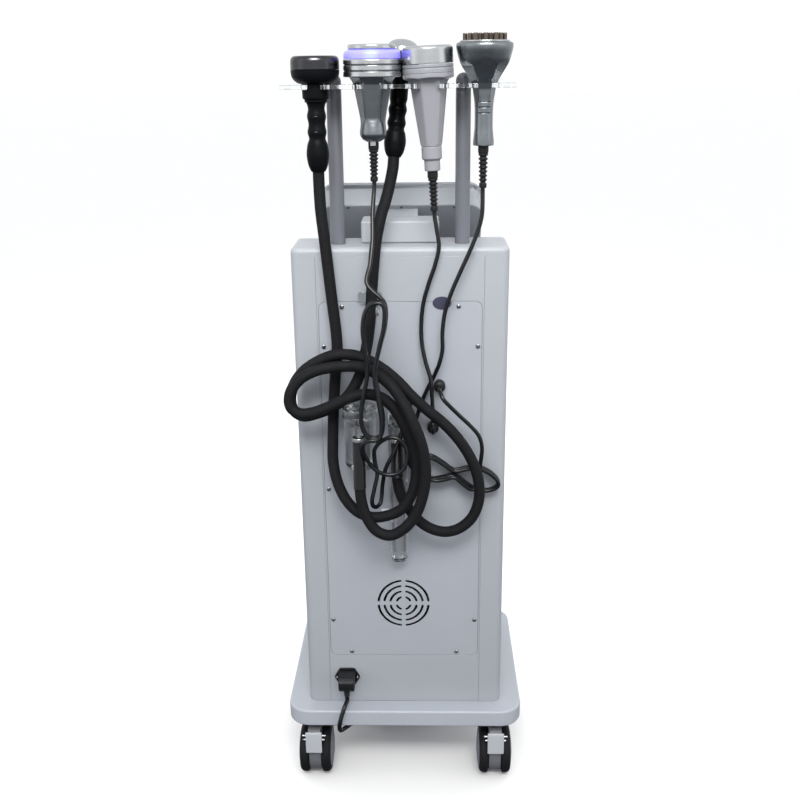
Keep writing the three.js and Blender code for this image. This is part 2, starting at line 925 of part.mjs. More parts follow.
const cavitationBulbShares = [[0.4, 1], [0.75, 0.95], [0.96, 0.86], [1, 0.77]];
const cavitationWaistShares = [[1, 0.66]];
const cavitationThroatShares = [[0.72, 0.48], [0.86, 0.25]];
const cavitationFlareShares = [[0.82, 0.4], [0.97, 1]];

function cavitationBody() {
  const { bodyBottom, bulbRadius, waistRadius, throatRadius, headRadius, bodyTop } = cavitation;
  return turned([
    [0, -bodyBottom],
    ...scaled(cavitationBulbShares, bulbRadius, -bodyBottom),
    ...scaled(cavitationWaistShares, waistRadius, -bodyBottom),
    ...scaled(cavitationThroatShares, throatRadius, -bodyBottom),
    [throatRadius, gap],
    ...scaled(cavitationFlareShares, headRadius, bodyTop),
    [0, bodyTop],
  ], sides.wheel);
}

function cavitationHead() {
  const { headRadius, bodyTop, bandTop, ringTop, faceTop, faceRadius, stemRadius, groove } = cavitation;
  const low = bodyTop + gap;
  const pitch = (bandTop - low) / 3;
  const band = [[0, low]];
  for (let i = 0; i < 3; i += 1) {
    const start = low + pitch * i;
    band.push([headRadius, start], [headRadius, start + pitch - groove]);
    if (i < 2) band.push([headRadius - groove, start + pitch - groove], [headRadius - groove, start + pitch]);
  }
  return turned([
    ...band,
    [headRadius - groove, bandTop],
    [stemRadius, bandTop],
    [stemRadius, ringTop + gap],
    [faceRadius, ringTop + gap],
    [faceRadius, faceTop - groove],
    [faceRadius - groove, faceTop],
    [0, faceTop],
  ]);
}

function cavitationLightRing() {
  const { headRadius, bandTop, ringTop, stemRadius, groove } = cavitation;
  const inner = stemRadius + gap;
  const outer = headRadius - groove / 2;
  return turned([
    [inner, bandTop + gap],
    [outer, bandTop + gap],
    [outer, ringTop - groove * 2],
    [outer - groove * 2, ringTop],
    [inner, ringTop],
    [inner, bandTop + gap],
  ]);
}

const cavitationPlace = handpiece(places.cavitation);
add("cavitation_body", cavitationBody(), materials.silver, cavitationPlace);
add("cavitation_head", cavitationHead(), materials.steel, cavitationPlace);
add("cavitation_light_ring", cavitationLightRing(), materials.glow, cavitationPlace);
add(
  "cavitation_strain_relief",
  strainRelief(-cavitation.bodyBottom - gap, cavitation.reliefLength),
  materials.black,
  cavitationPlace,
);

// Small radio-frequency handpiece, which leans in its slot

const small = {
  headRadius: 24.3,
  bulbEnd: 100,
  bulbRadius: 15,
  gripRadius: 12.4,
  cupBase: 6,
  cupTop: 36,
  domeTop: 57,
  domeEdge: 17,
  leanRear: 12,
  leanSide: 5.2,
};

const smallCupShares = [[0.85, 0.375], [1, 0.667], [1, 1]];

function smallGrip() {
  const { headRadius, gripRadius, cupBase, cupTop } = small;
  const cup = scaled(smallCupShares, headRadius, cupTop);
  return turned([...gripProfile(small), [gripRadius, cupBase], ...cup, [0, cupTop]]);
}

function smallDome() {
  const { headRadius, cupTop, domeTop, domeEdge } = small;
  const low = cupTop + gap;
  return turned([[0, low], [headRadius, low], ...roundedEdge(headRadius, domeTop, domeEdge), [0, domeTop]]);
}

const smallPlace = handpiece(places.small);
smallPlace.rotation.x = -THREE.MathUtils.degToRad(small.leanRear);
smallPlace.rotation.y = THREE.MathUtils.degToRad(small.leanSide);
add("small_grip", smallGrip(), materials.black, smallPlace);
add("small_dome", smallDome(), materials.chrome, smallPlace);

// White handpiece

const white = {
  headRadius: 34,
  bodyTop: 23.6,
  ringTop: 46.8,
  ringEdge: 5,
  throatRadius: 26,
  flareHeight: 7,
  lowRadius: 15,
  lowHeight: 77.5,
  capRadius: 13.8,
  capBottom: 98.5,
  tipRadius: 10.8,
  bodyBottom: 114.5,
  groove: 1,
  grooveHeight: 18.9,
  reliefLength: 54.8,
  leanSide: 2.5,
  seatRise: 0.7,
};

const whiteFlareShares = [[0.9, 0.5], [1, 1]];

function whiteBody() {
  const { headRadius, bodyTop, throatRadius, flareHeight, lowRadius, lowHeight } = white;
  const { capRadius, capBottom, tipRadius, bodyBottom, groove, grooveHeight } = white;
  return turned([
    [0, -bodyBottom],
    [tipRadius - groove, -bodyBottom],
    [tipRadius, -bodyBottom + groove * 2],
    [tipRadius, -capBottom - groove * 2],
    [capRadius, -capBottom],
    [capRadius, -lowHeight - groove * 3],
    [lowRadius, -lowHeight],
    [throatRadius, gap],
    ...scaled(whiteFlareShares, headRadius, flareHeight),
    [headRadius, grooveHeight - groove],
    [headRadius - groove, grooveHeight],
    [headRadius, grooveHeight + groove],
    [headRadius, bodyTop],
    [0, bodyTop],
  ], sides.wheel);
}

function whiteHeadRing() {
  const { headRadius, bodyTop, ringTop, ringEdge } = white;
  const low = bodyTop + gap;
  return turned([[0, low], [headRadius, low], ...roundedEdge(headRadius, ringTop, ringEdge), [0, ringTop]]);
}

const whitePlace = handpiece(places.white);
whitePlace.rotation.y = -THREE.MathUtils.degToRad(white.leanSide);
whitePlace.position.z += white.seatRise;
add("white_body", whiteBody(), materials.white, whitePlace);
add("white_head_ring", whiteHeadRing(), materials.steel, whitePlace);
add(
  "white_strain_relief",
  strainRelief(-white.bodyBottom - gap, white.reliefLength),
  materials.black,
  whitePlace,
);

// Pin handpiece

const pin = {
  headRadius: 37.8,
  bowlTop: 51,
  bowlEdge: 5,
  throatRadius: 19,
  gripRadius: 12.2,
  tipRadius: 14,
  bodyBottom: 80.7,
  plateRadius: 33,
  plateRise: 2,
  pinRadius: 3,
  pinHeight: 9,
  pitch: 13,
  rings: 2,
  reliefLength: 56.5,
};

const pinTipShares = [[0.96, 1], [1, 0.95]];
const pinGripShares = [[1, 0.7], [1, 0.44]];
const pinThroatShares = [[0.76, 0.2]];
const pinBowlShares = [[0.66, 0.22], [0.82, 0.44], [0.95, 0.72]];

function pinBody() {
  const { headRadius, bowlTop, bowlEdge, throatRadius, gripRadius, tipRadius, bodyBottom } = pin;
  return turned([
    [0, -bodyBottom],
    ...scaled(pinTipShares, tipRadius, -bodyBottom),
    ...scaled(pinGripShares, gripRadius, -bodyBottom),
    ...scaled(pinThroatShares, throatRadius, -bodyBottom),
    [throatRadius, gap],
    ...scaled(pinBowlShares, headRadius, bowlTop),
    ...roundedEdge(headRadius, bowlTop, bowlEdge),
    [0, bowlTop],
  ]);
}

// Pins stand on a hexagonal grid, in rings about the middle one
function pinElectrode() {
  const low = pin.bowlTop + gap;
  const plateTopHeight = low + pin.plateRise;
  const pieces = [rod(pin.plateRadius, [low, plateTopHeight], sides.round)];
  for (let row = -pin.rings; row <= pin.rings; row += 1) {
    const count = pin.rings * 2 + 1 - Math.abs(row);
    for (let i = 0; i < count; i += 1) {
      const x = (i - (count - 1) / 2) * pin.pitch;
      const y = row * pin.pitch * Math.sin(Math.PI / 3);
      pieces.push(rod(pin.pinRadius, [low, plateTopHeight + pin.pinHeight], sides.cord).translate(x, y, 0));
    }
  }
  return join(pieces);
}

const pinPlace = handpiece(places.pin);
add("pin_body", pinBody(), materials.silver, pinPlace);
add("pin_electrode", pinElectrode(), materials.gunmetal, pinPlace);
add("pin_strain_relief", strainRelief(-pin.bodyBottom - gap, pin.reliefLength), materials.black, pinPlace);

// Clear vacuum filters on the service panel, each with an elbow that a hose hangs from

const elbowRadius = 5.5;
const seatFace = rear - gap;

const filterCup = {
  x: -60,
  y: -163,
  radius: 23,
  bottom: 556,
  shoulder: 634,
  top: 652,
  headRadius: 25,
  taper: 5,
  bracket: 22,
  elbowX: -59,
  elbowY: -208,
  elbowHeight: 642,
  elbowEnd: 620,
};
const filterBottle = {
  x: -5,
  y: -151,
  radius: 14,
  bottom: 397,
  shoulder: 618,
  top: 640,
  headRadius: 15,
  taper: 5,
  bracket: 18,
  elbowX: -6,
  elbowY: -177,
  elbowHeight: 629,
  elbowEnd: 607,
};

function filter(piece) {
  const { x, y, radius, bottom, shoulder, top, headRadius, taper, bracket } = piece;
  const bowl = turned([
    [0, bottom],
    [radius - taper, bottom],
    [radius, bottom + taper * 2],
    [radius, shoulder],
    [headRadius, shoulder],
    [headRadius, top - taper / 2],
    [headRadius - taper, top],
    [0, top],
  ]).translate(x, y, 0);
  const mount = box(around(x, bracket), [y, seatFace], [shoulder, top - taper]);
  const reach = [piece.elbowY - elbowRadius, y];
  const arm = alongY(rod(elbowRadius, reach)).translate(piece.elbowX, 0, piece.elbowHeight);
  const drop = rod(elbowRadius, [piece.elbowEnd, piece.elbowHeight + elbowRadius])
    .translate(piece.elbowX, piece.elbowY, 0);
  return join([bowl, mount, arm, drop]);
}

add("filter_cup", filter(filterCup), materials.clear);
add("filter_bottle", filter(filterBottle), materials.clear);

// Cord hook

const hook = {
  x: -43,
  height: 803,
  width: 34,
  tall: 18,
  thickness: 2.4,
  armX: -28,
  armRadius: 2.2,
  armY: -235,
  rise: 9,
};

function cordHook() {
  const depth = [seatFace - hook.thickness, seatFace];
  const plate = box(around(hook.x, hook.width), depth, around(hook.height, hook.tall));
  const arm = alongY(rod(hook.armRadius, [hook.armY, seatFace - hook.thickness / 2], sides.cord))
    .translate(hook.armX, 0, hook.height);
  const tip = rod(hook.armRadius, [hook.height - hook.armRadius / 2, hook.height + hook.rise], sides.cord)
    .translate(hook.armX, hook.armY + hook.armRadius, 0);
  return join([plate, arm, tip]);
}

add("cord_hook", cordHook(), materials.clear);

// Plugs of the two cords that end on the service panel

function panelPlug({ x, z }) {
  const profile = [
    [0, -plug.noseLength],
    [plug.noseRadius, -plug.noseLength],
    [plug.noseRadius, 0],
    [plug.bodyRadius, 0],
    [plug.bodyRadius, plug.bodyLength],
    [plug.neckRadius, plug.bodyLength + plug.neckRadius / 3],
    [plug.neckRadius, plug.bodyLength + plug.neckLength],
    [0, plug.bodyLength + plug.neckLength],
  ];
  return turned(profile, sides.small).rotateX(rightAngle).translate(x, seatFace, z);
}

const plugEnd = seatFace - plug.bodyLength - plug.neckLength - gap;
add("panel_plug_white", panelPlug(plugPlaces.white), materials.black);
add("panel_plug_pin", panelPlug(plugPlaces.pin), materials.black);

// Hoses: from the grip's end, round the tie and up to the filter's elbow

const vacuumEnd = plateTop - vacuum.bulbEnd - gap;
const hoseOneRoute = [
  [places.vacuum.x, places.vacuum.y, vacuumEnd], [places.vacuum.x, places.vacuum.y, vacuumEnd - hoseDiameter],
  [-108, -143, 930], [-104, -147, 891], [-97, -152, 819],
  [-90, -156, 737], [-94, -157, 694], [-98, -158, 643], [-100, -162, 598], [-100, -168, 564], [-94, -176, 537],
  [-82, -184, 513], [-65, -190, 496], [-45, -194, 489], [-23, -195, 491], [0, -195, 502], [16, -194, 527],
  [22, -193, 561], [16, -192, 598], [4, -192, 633], [-12, -192, 660], [-31, -193, 675], [-54, -194, 678],
  [-78, -195, 671], [-102, -196, 660], [-125, -197, 652], [-143, -197, 651], [-155, -197, 661],
  [-155, -196, 680], [-142, -194, 699], [-121, -191, 711], [-98, -189, 716], [-76, -189, 718], [-55, -190, 717],
  [-34, -191, 708], [-12, -195, 690], [7, -206, 664], [20, -213, 638], [30, -214, 610], [35, -214, 580],
  [35, -214, 553], [30, -214, 526], [20, -214, 500], [3, -214, 479], [-16, -214, 469], [-35, -213, 475],
  [-49, -211, 494], [-57, -209, 520], [-59, -208, 548], [-59, -208, 585],
  [filterCup.elbowX, filterCup.elbowY, filterCup.elbowEnd - gap],
];

// A point on a leaning handpiece's axis, below the plate's top face
function below(place, distance) {
  const tip = new THREE.Vector3(0, 0, -distance);
  tip.applyEuler(place.rotation).add(place.position);
  return tip.toArray();
}

const hoseThreeRoute = [
  below(smallPlace, small.bulbEnd + gap), below(smallPlace, small.bulbEnd + hoseDiameter),
  [-17, -124, 945], [-25, -136, 920],
  [-32, -146, 888], [-36, -152, 854], [-39, -155, 819], [-42, -159, 777], [-48, -164, 737], [-58, -170, 699],
  [-75, -175, 670], [-97, -177, 654], [-120, -177, 644], [-140, -177, 640], [-153, -177, 648],
  [-157, -177, 664], [-153, -176, 684], [-140, -175, 704], [-120, -174, 719], [-96, -173, 729],
  [-71, -172, 730], [-48, -172, 723], [-25, -172, 709], [-4, -173, 691], [16, -174, 669], [37, -175, 649],
  [58, -175, 631], [77, -175, 611], [94, -175, 587], [107, -175, 560], [114, -175, 530], [113, -175, 503],
  [103, -175, 478], [84, -175, 461], [64, -175, 456], [44, -175, 461], [25, -176, 475], [9, -177, 497],
  [-2, -177, 520], [-6, -177, 545], [-6, -177, 575],
  [filterBottle.elbowX, filterBottle.elbowY, filterBottle.elbowEnd - gap],
];

add("hose_vacuum", tube(hoseOneRoute, hoseDiameter, { steps: 56 }), materials.hose);
add("hose_small", tube(hoseThreeRoute, hoseDiameter, { steps: 48 }), materials.hose);

// Hanks: one cord wound in long loops that are drawn in at the tie

const hankClearance = gap * 2;
const hankPitch = cordDiameter + hankClearance;
const waistWidthShare = 0.35;

// Path of a hank. Its loops run in the plane of along and across, each one pitch further to the rear
function hankPath(hank) {
  const { centre, along, across, bow, turns, startTurn, waistShare, narrowShare, lastShrinkShare } = hank;
  const { leadStart, leadEnd } = hank;
  const points = [];
  const count = Math.round(turns * loopSteps);
  for (let step = 0; step <= count; step += 1) {
    const angle = fullTurn * (startTurn + step / loopSteps);
    const narrowed = 1 - narrowShare * step / count;
    const drawnIn = narrowed * (1 - waistShare * Math.exp(-Math.pow(Math.cos(angle) / waistWidthShare, 2)));
    const halfTurnsLeft = (count - step) * 2 / loopSteps;
    const shrink = 1 - lastShrinkShare * Math.max(0, 1 - halfTurnsLeft);
    const point = new THREE.Vector3(...centre);
    point.addScaledVector(new THREE.Vector3(...along), Math.cos(angle) * shrink);
    point.addScaledVector(new THREE.Vector3(...across), Math.sin(angle) * drawnIn);
    point.addScaledVector(new THREE.Vector3(...bow), Math.pow(Math.cos(angle), 2));
    point.y -= hankPitch * step / loopSteps;
    points.push(point);
  }
  const first = points[0].clone().addScaledVector(new THREE.Vector3(...leadStart), -cordDiameter);
  const last = points[points.length - 1].clone().addScaledVector(new THREE.Vector3(...leadEnd), cordDiameter);
  return [first, ...points, last];
}

// Vertical hank of the cavitation handpiece's cord, which hangs on the hook by its top
const hankTwo = {
  centre: [-39, -207, 717],
  along: [4, 0, 98],
  across: [18, 0, 0],
  bow: [7, 0, 0],
  turns: 2.5,
  startTurn: 0,
  waistShare: 0.7,
  narrowShare: 0.12,
  leadStart: [1, 0, 0],
  leadEnd: [-1, 0, 0],
  lastShrinkShare: 0,
};

// Level hank of the pin handpiece's cord, behind the right loop of hose
const hankFive = {
  centre: [78, -142, 540],
  along: [66, 0, -17],
  across: [0, 0, 25],
  bow: [0, 0, 0],
  turns: 2.5,
  startTurn: 0.5,
  waistShare: 0.8,
  narrowShare: 0.15,
  leadStart: [0, 0, -1],
  leadEnd: [0, 0, 1],
  lastShrinkShare: 0.45,
};

function addHank(name, hank) {
  const path = hankPath(hank);
  console.log(`${name}: least gap to itself ${leastSelfGap(path, cordDiameter).toFixed(2)} mm`);
  add(name, woundTube(path, cordDiameter), materials.cord);
  return path;
}

const hankTwoPath = addHank("cord_hank_cavitation", hankTwo);
const hankFivePath = addHank("cord_hank_pin", hankFive);

// A point past the end of a wound path, in line with it
function before(path, distance) {
  const direction = path[0].clone().sub(path[1]).normalize();
  return path[0].clone().addScaledVector(direction, distance).toArray();
}

function beyond(path, distance) {
  return before([...path].reverse(), distance);
}

// Free stretches of the thin cords

const cavitationEnd = plateTop - cavitation.bodyBottom - cavitation.reliefLength - gap * 2;
const whiteReach = white.bodyBottom + white.reliefLength + gap * 2;
const pinEnd = plateTop - pin.bodyBottom - pin.reliefLength - gap * 2;

// A cord's first two points, straight down from a handpiece's strain relief
function dropFrom(place, end) {
  return [[place.x, place.y, end], [place.x, place.y, end - cordDiameter]];
}

// A cord's last two points, straight into a plug on the service panel
function runInto(place) {
  return [[place.x, plugEnd - cordDiameter, place.z], [place.x, plugEnd, place.z]];
}

const cordTwoRoute = [
  ...dropFrom(places.cavitation, cavitationEnd), [-36, -152, 926], [-36, -168, 891],
  [-39, -184, 861], [-43, -199, 837], before(hankTwoPath, cordDiameter), before(hankTwoPath, gap),
];
// From the bottom of the vertical hank down and up once more, round a loose loop and down to its plug
const cordTwoTailRoute = [
  beyond(hankTwoPath, gap), beyond(hankTwoPath, cordDiameter), [-52, -222, 614], [-53, -220, 603],
  [-48, -216, 590], [-40, -212, 575], [-28, -210, 565], [-12, -209, 562], [2, -208, 568], [9, -207, 583],
  [8, -206, 600], [0, -205, 613], [-13, -204, 617], [-27, -203, 611], [-37, -202, 598], [-37, -201, 580],
  [-33, -200, 560], [-37, -199, 535], [-40, -198, 518], [-35, -197, 509], [-29, -196, 518], [-28, -195, 540],
  [-22, -194, 565], [-10, -192, 590], [0, -186, 614], [5, -175, 632], [11, -164, 647],
  [plugPlaces.cavitation.x, plugEnd - cordDiameter, plugPlaces.cavitation.z],
  [plugPlaces.cavitation.x, plugEnd + plug.neckLength, plugPlaces.cavitation.z],
];
const cordFourRoute = [
  below(whitePlace, whiteReach), below(whitePlace, whiteReach + cordDiameter),
  [52, -144, 901], [55, -147, 878], [50, -148, 854],
  [40, -147, 824], [33, -146, 797], [30, -146, 765], [31, -147, 738], [36, -151, 713], [43, -157, 689],
  [45, -159, 665], [46, -158, 645], [46.4, -160, 630], [46.6, -167, 618], [46.6, -166, 611],
  ...runInto(plugPlaces.white),
];
const cordFiveRoute = [
  ...dropFrom(places.pin, pinEnd), [114, -146, 921], [109, -149, 901], [100, -153, 878],
  [86, -156, 847], [74, -156, 819], [64, -155, 788], [60, -155, 757], [60, -155, 731], [55, -154, 709],
  [49, -149, 693], [40, -147, 674], [32, -145, 655], [24, -143, 630], [16, -142, 605],
  before(hankFivePath, cordDiameter), before(hankFivePath, gap),
];
const cordFiveTailRoute = [
  beyond(hankFivePath, gap), beyond(hankFivePath, cordDiameter), [116, -161, 558], [118, -162, 586],
  [113, -163, 604], [99, -166, 622], [84, -169, 638], [70, -173, 655], [60, -175, 668], [56.6, -168, 673],
  ...runInto(plugPlaces.pin),
];
add("cord_cavitation", tube(cordTwoRoute, cordDiameter, { steps: 15 }), materials.cord);
const cordTwoTail = tube(cordTwoTailRoute, cordDiameter, { steps: 34 });
add("cord_cavitation_tail", join([cordTwoTail, panelPlug(plugPlaces.cavitation)]), materials.cord);
add("cord_white", tube(cordFourRoute, cordDiameter, { steps: 28 }), materials.cord);
add("cord_pin", tube(cordFiveRoute, cordDiameter, { steps: 26 }), materials.cord);
add("cord_pin_tail", tube(cordFiveTailRoute, cordDiameter, { steps: 14 }), materials.cord);

// Mains lead: an angled connector, the cord over the board's edge and under it, a coil and the plug

const connector = {
  width: 26,
  depth: 28,
  height: 26,
  reliefRadius: 5.2,
  reliefEnd: 4.2,
  reliefLength: 12,
  reliefY: -155,
};
const connectorFace = rear - gap - inlet.flangeThickness - gap;

function mainsConnector() {
  const low = inlet.height - connector.height / 2;
  const body = box(
    around(inletX, connector.width),
    [connectorFace - connector.depth, connectorFace],
    [low, low + connector.height],
  );
  const tail = turned([
    [0, low - connector.reliefLength],
    [connector.reliefEnd, low - connector.reliefLength],
    [connector.reliefRadius, low],
    [connector.reliefRadius, low + overrun],
    [0, low + overrun],
  ], sides.small).translate(inletX, connector.reliefY, 0);
  return join([body, tail]);
}

add("mains_connector", mainsConnector(), materials.black);

// The coil spirals in on its lower layer, climbs, and spirals out again on its upper one
const coilClearance = 0.8;
const coil = {
  x: -8,
  y: 42,
  z: mainsDiameter / 2 + gap,
  outerRadius: 52,
  pitch: mainsDiameter + coilClearance,
  turnsPerLayer: 1.75,
  startAngle: Math.PI,
  endLead: 35,
};

function coilPath() {
  const points = [];
  const layerSteps = Math.round(coil.turnsPerLayer * loopSteps);
  const climbSteps = loopSteps / 2;
  const inward = coil.pitch / loopSteps;
  const count = layerSteps * 2 + climbSteps;
  for (let step = 0; step <= count; step += 1) {
    const angle = coil.startAngle - fullTurn * step / loopSteps;
    const climb = THREE.MathUtils.smoothstep(step, layerSteps, layerSteps + climbSteps);
    const half = layerSteps + climbSteps / 2;
    const radius = coil.outerRadius - inward * (half - Math.abs(step - half));
    points.push(new THREE.Vector3(
      coil.x + radius * Math.cos(angle),
      coil.y + radius * Math.sin(angle),
      coil.z + coil.pitch * climb,
    ));
  }
  const startLead = points[0].clone().sub(points[1]).setLength(mainsDiameter);
  const last = points.length - 1;
  const endLead = points[last].clone().sub(points[last - 1]).setLength(coil.endLead);
  return [points[0].clone().add(startLead), ...points, points[last].clone().add(endLead)];
}

const coilPoints = coilPath();
console.log(`mains_coil: least gap to itself ${leastSelfGap(coilPoints, mainsDiameter).toFixed(2)} mm`);
add("mains_coil", woundTube(coilPoints, mainsDiameter), materials.cord);

const connectorEnd = inlet.height - connector.height / 2 - connector.reliefLength - gap;
const mainsRoute = [
  [inletX, connector.reliefY, connectorEnd], [inletX, connector.reliefY, connectorEnd - mainsDiameter],
  [-96, -166, 141], [-101, -173, 127], [-104, -174, 112], [-103, -168, 100], [-98, -158, 96], [-88, -140, 92],
  [-80, -110, 75], [-72, -70, 48], [-66, -34, 21], [-62, -6, 8],
  before(coilPoints, mainsDiameter * 3), before(coilPoints, gap),
];
add("mains_cord", tube(mainsRoute, mainsDiameter, { steps: 22 }), materials.cord);

const plugTop = {
  bodyLength: 38,
  bodyWidth: 34,
  bodyHeight: 20,
  pinRadius: 2.4,
  pinLength: 19,
  pinSpacing: 19,
  neckLength: 14,
  neckRadius: 5,
};

function mainsPlug() {
  const plan = roundedRectangle(plugTop.bodyLength, plugTop.bodyWidth, plugTop.neckRadius);
  const body = raised(plan, -plugTop.bodyHeight / 2, plugTop.bodyHeight / 2)
    .translate(plugTop.neckLength + plugTop.bodyLength / 2, 0, 0);
  const neckPiece = alongX(rod(plugTop.neckRadius, [0, plugTop.neckLength + overrun]));
  const start = plugTop.neckLength + plugTop.bodyLength - overrun;
  const pins = [-1, 1].map((side) => (
    alongX(rod(plugTop.pinRadius, [start, start + overrun + plugTop.pinLength], sides.cord))
      .translate(0, side * plugTop.pinSpacing / 2, 0)
  ));
  return join([body, neckPiece, ...pins]);
}

const plugMesh = add("mains_plug", mainsPlug(), materials.black);
const plugStart = new THREE.Vector3(...beyond(coilPoints, gap));
const plugAhead = new THREE.Vector3(...beyond(coilPoints, gap + mainsDiameter));
plugMesh.position.copy(plugStart);
plugMesh.rotation.z = Math.atan2(plugAhead.y - plugStart.y, plugAhead.x - plugStart.x);

// The origin is on the floor, under the middle of the machine without its cords
const rearReach = -hook.armY;
machine.position.y = (rearReach - baseDepth / 2) / 2;

export default machine;
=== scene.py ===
# Cavitation slimming machine on casters, faced from its rear.
# Metres. +Z is up, +Y is the machine's front and X runs to the right when its rear is faced.
import math

import bpy
import bmesh
from mathutils import Matrix, Vector
from mathutils.geometry import tessellate_polygon


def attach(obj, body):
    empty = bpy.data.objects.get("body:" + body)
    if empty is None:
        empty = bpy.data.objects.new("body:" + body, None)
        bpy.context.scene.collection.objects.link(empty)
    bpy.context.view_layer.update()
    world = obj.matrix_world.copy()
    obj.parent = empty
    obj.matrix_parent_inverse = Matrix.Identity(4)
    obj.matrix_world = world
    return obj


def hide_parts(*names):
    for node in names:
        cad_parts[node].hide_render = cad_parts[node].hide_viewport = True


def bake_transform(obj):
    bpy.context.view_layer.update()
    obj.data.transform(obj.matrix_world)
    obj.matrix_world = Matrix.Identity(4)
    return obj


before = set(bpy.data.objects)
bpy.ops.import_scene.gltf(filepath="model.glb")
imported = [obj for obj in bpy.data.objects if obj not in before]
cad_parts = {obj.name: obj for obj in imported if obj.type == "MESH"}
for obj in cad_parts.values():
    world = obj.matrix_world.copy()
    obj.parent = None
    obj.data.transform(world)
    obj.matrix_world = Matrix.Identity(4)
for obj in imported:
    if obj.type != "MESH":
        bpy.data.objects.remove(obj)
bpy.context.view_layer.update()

MM = 0.001
SHIFT = 0.0355
TAU = math.tau
REAR = -math.pi / 2
MOUNT_FACE = -135.3
SIDES = ((-1, "left"), (1, "right"))


def at(x, y, z):
    """A point of the CAD source, in its millimetres, as metres in the row frame."""
    return Vector((x * MM, y * MM + SHIFT, z * MM))


# Camera


def make_camera():
    pitch, yaw, roll = 0.3201, -0.0279, -0.0118
    forward = Vector((math.sin(yaw) * math.cos(pitch), math.cos(yaw) * math.cos(pitch), -math.sin(pitch)))
    right = Vector((math.cos(yaw), -math.sin(yaw), 0))
    up = right.cross(forward)
    across = math.cos(roll) * right + math.sin(roll) * up
    upward = -math.sin(roll) * right + math.cos(roll) * up
    turn = Matrix((across, upward, -forward)).transposed().to_4x4()
    data = bpy.data.cameras.new("camera")
    data.lens = 45.70
    data.sensor_width = 36
    data.clip_start, data.clip_end = 0.05, 50
    camera = bpy.data.objects.new("camera", data)
    bpy.context.scene.collection.objects.link(camera)
    camera.matrix_world = Matrix.Translation((0.0377, -1.5169, 1.1201)) @ turn
    bpy.context.scene.camera = camera


make_camera()

# Materials. Each has colour drift and changing roughness, and all but the lit ring a fine bump, in object or
# surface coordinates


class Graph:
    def __init__(self, name):
        self.material = bpy.data.materials.new(name)
        self.material.use_nodes = True
        self.tree = self.material.node_tree
        self.shader = self.tree.nodes["Principled BSDF"]
        self.source = self.tree.nodes.new("ShaderNodeTexCoord")

    def node(self, kind, **settings):
        made = self.tree.nodes.new("ShaderNode" + kind)
        for key, value in settings.items():
            setattr(made, key, value)
        return made

    def link(self, start, end):
        self.tree.links.new(start, end)

    def coords(self, space="Object", scale=(1, 1, 1)):
        mapping = self.node("Mapping")
        mapping.inputs["Scale"].default_value = scale
        self.link(self.source.outputs[space], mapping.inputs["Vector"])
        return mapping.outputs["Vector"]

    def noise(self, scale, detail=2.0, rough=0.5, space="Object", stretch=(1, 1, 1)):
        made = self.node("TexNoise")
        made.inputs["Scale"].default_value = scale
        made.inputs["Detail"].default_value = detail
        made.inputs["Roughness"].default_value = rough
        self.link(self.coords(space, stretch), made.inputs["Vector"])
        return made.outputs["Fac"]

    def math(self, operation, a, b=0.0, clamp=False):
        made = self.node("Math", operation=operation, use_clamp=clamp)
        for socket, value in zip(made.inputs, (a, b)):
            if isinstance(value, (int, float)):
                socket.default_value = value
            else:
                self.link(value, socket)
        return made.outputs["Value"]

    def ramp(self, fac, stops):
        made = self.node("ValToRGB")
        ramp = made.color_ramp
        while len(ramp.elements) < len(stops):
            ramp.elements.new(0.5)
        for element, (place, color) in zip(ramp.elements, stops):
            element.position = place
            element.color = (*color, 1)
        self.link(fac, made.inputs["Fac"])
        return made.outputs["Color"]

    def spread(self, fac, low, high, start=0.3, end=0.7):
        made = self.node("MapRange")
        for key, value in (("From Min", start), ("From Max", end), ("To Min", low), ("To Max", high)):
            made.inputs[key].default_value = value
        self.link(fac, made.inputs["Value"])
        return made.outputs["Result"]

    def set(self, **values):
        for key, value in values.items():
            self.shader.inputs[key.replace("_", " ")].default_value = value

    def bump(self, height, strength, distance):
        made = self.node("Bump")
        made.inputs["Strength"].default_value = strength
        made.inputs["Distance"].default_value = distance
        self.link(height, made.inputs["Height"])
        self.link(made.outputs["Normal"], self.shader.inputs["Normal"])


def tint(color, factor):
    return tuple(min(1.0, c * factor) for c in color)


def plastic(name, color, rough, grain=1400, depth=0.12, drift=0.05, coat=0.0, specular=0.5):
    g = Graph(name)
    g.link(g.ramp(g.noise(9, 4), [(0.3, tint(color, 1 - drift)), (0.7, tint(color, 1 + drift))]),
           g.shader.inputs["Base Color"])
    g.link(g.spread(g.noise(35, 5), rough * 0.88, rough * 1.14), g.shader.inputs["Roughness"])
    g.bump(g.noise(grain, 3), depth, 0.0004)
    g.set(Coat_Weight=coat, Coat_Roughness=0.12, Specular_IOR_Level=specular)
    return g.material


def metal(name, color, rough, stretch=(40, 40, 3000), depth=0.08, space="UV", drift=0.08, coat=0.0):
    g = Graph(name)
    lines = g.noise(1.0, 4, 0.6, space, stretch)
    g.link(g.ramp(lines, [(0.25, tint(color, 1 - drift)), (0.75, tint(color, 1 + drift))]),
           g.shader.inputs["Base Color"])
    g.link(g.spread(g.math("ADD", g.math("MULTIPLY", lines, 0.6), g.math("MULTIPLY", g.noise(60, 4), 0.4)),
                    rough * 0.75, rough * 1.3), g.shader.inputs["Roughness"])
    g.bump(lines, depth, 0.0002)
    g.set(Metallic=1.0, Coat_Weight=coat, Coat_Roughness=0.08)
    return g.material


def clear(name, color, rough, ior=1.49, bumps=0.04):
    g = Graph(name)
    g.link(g.ramp(g.noise(40, 3), [(0.3, tint(color, 0.97)), (0.7, tint(color, 1.02))]),
           g.shader.inputs["Base Color"])
    g.link(g.spread(g.noise(120, 4), rough * 0.5, rough * 1.6), g.shader.inputs["Roughness"])
    g.bump(g.noise(260, 3), bumps, 0.0005)
    g.set(Transmission_Weight=1.0, IOR=ior)
    return g.material


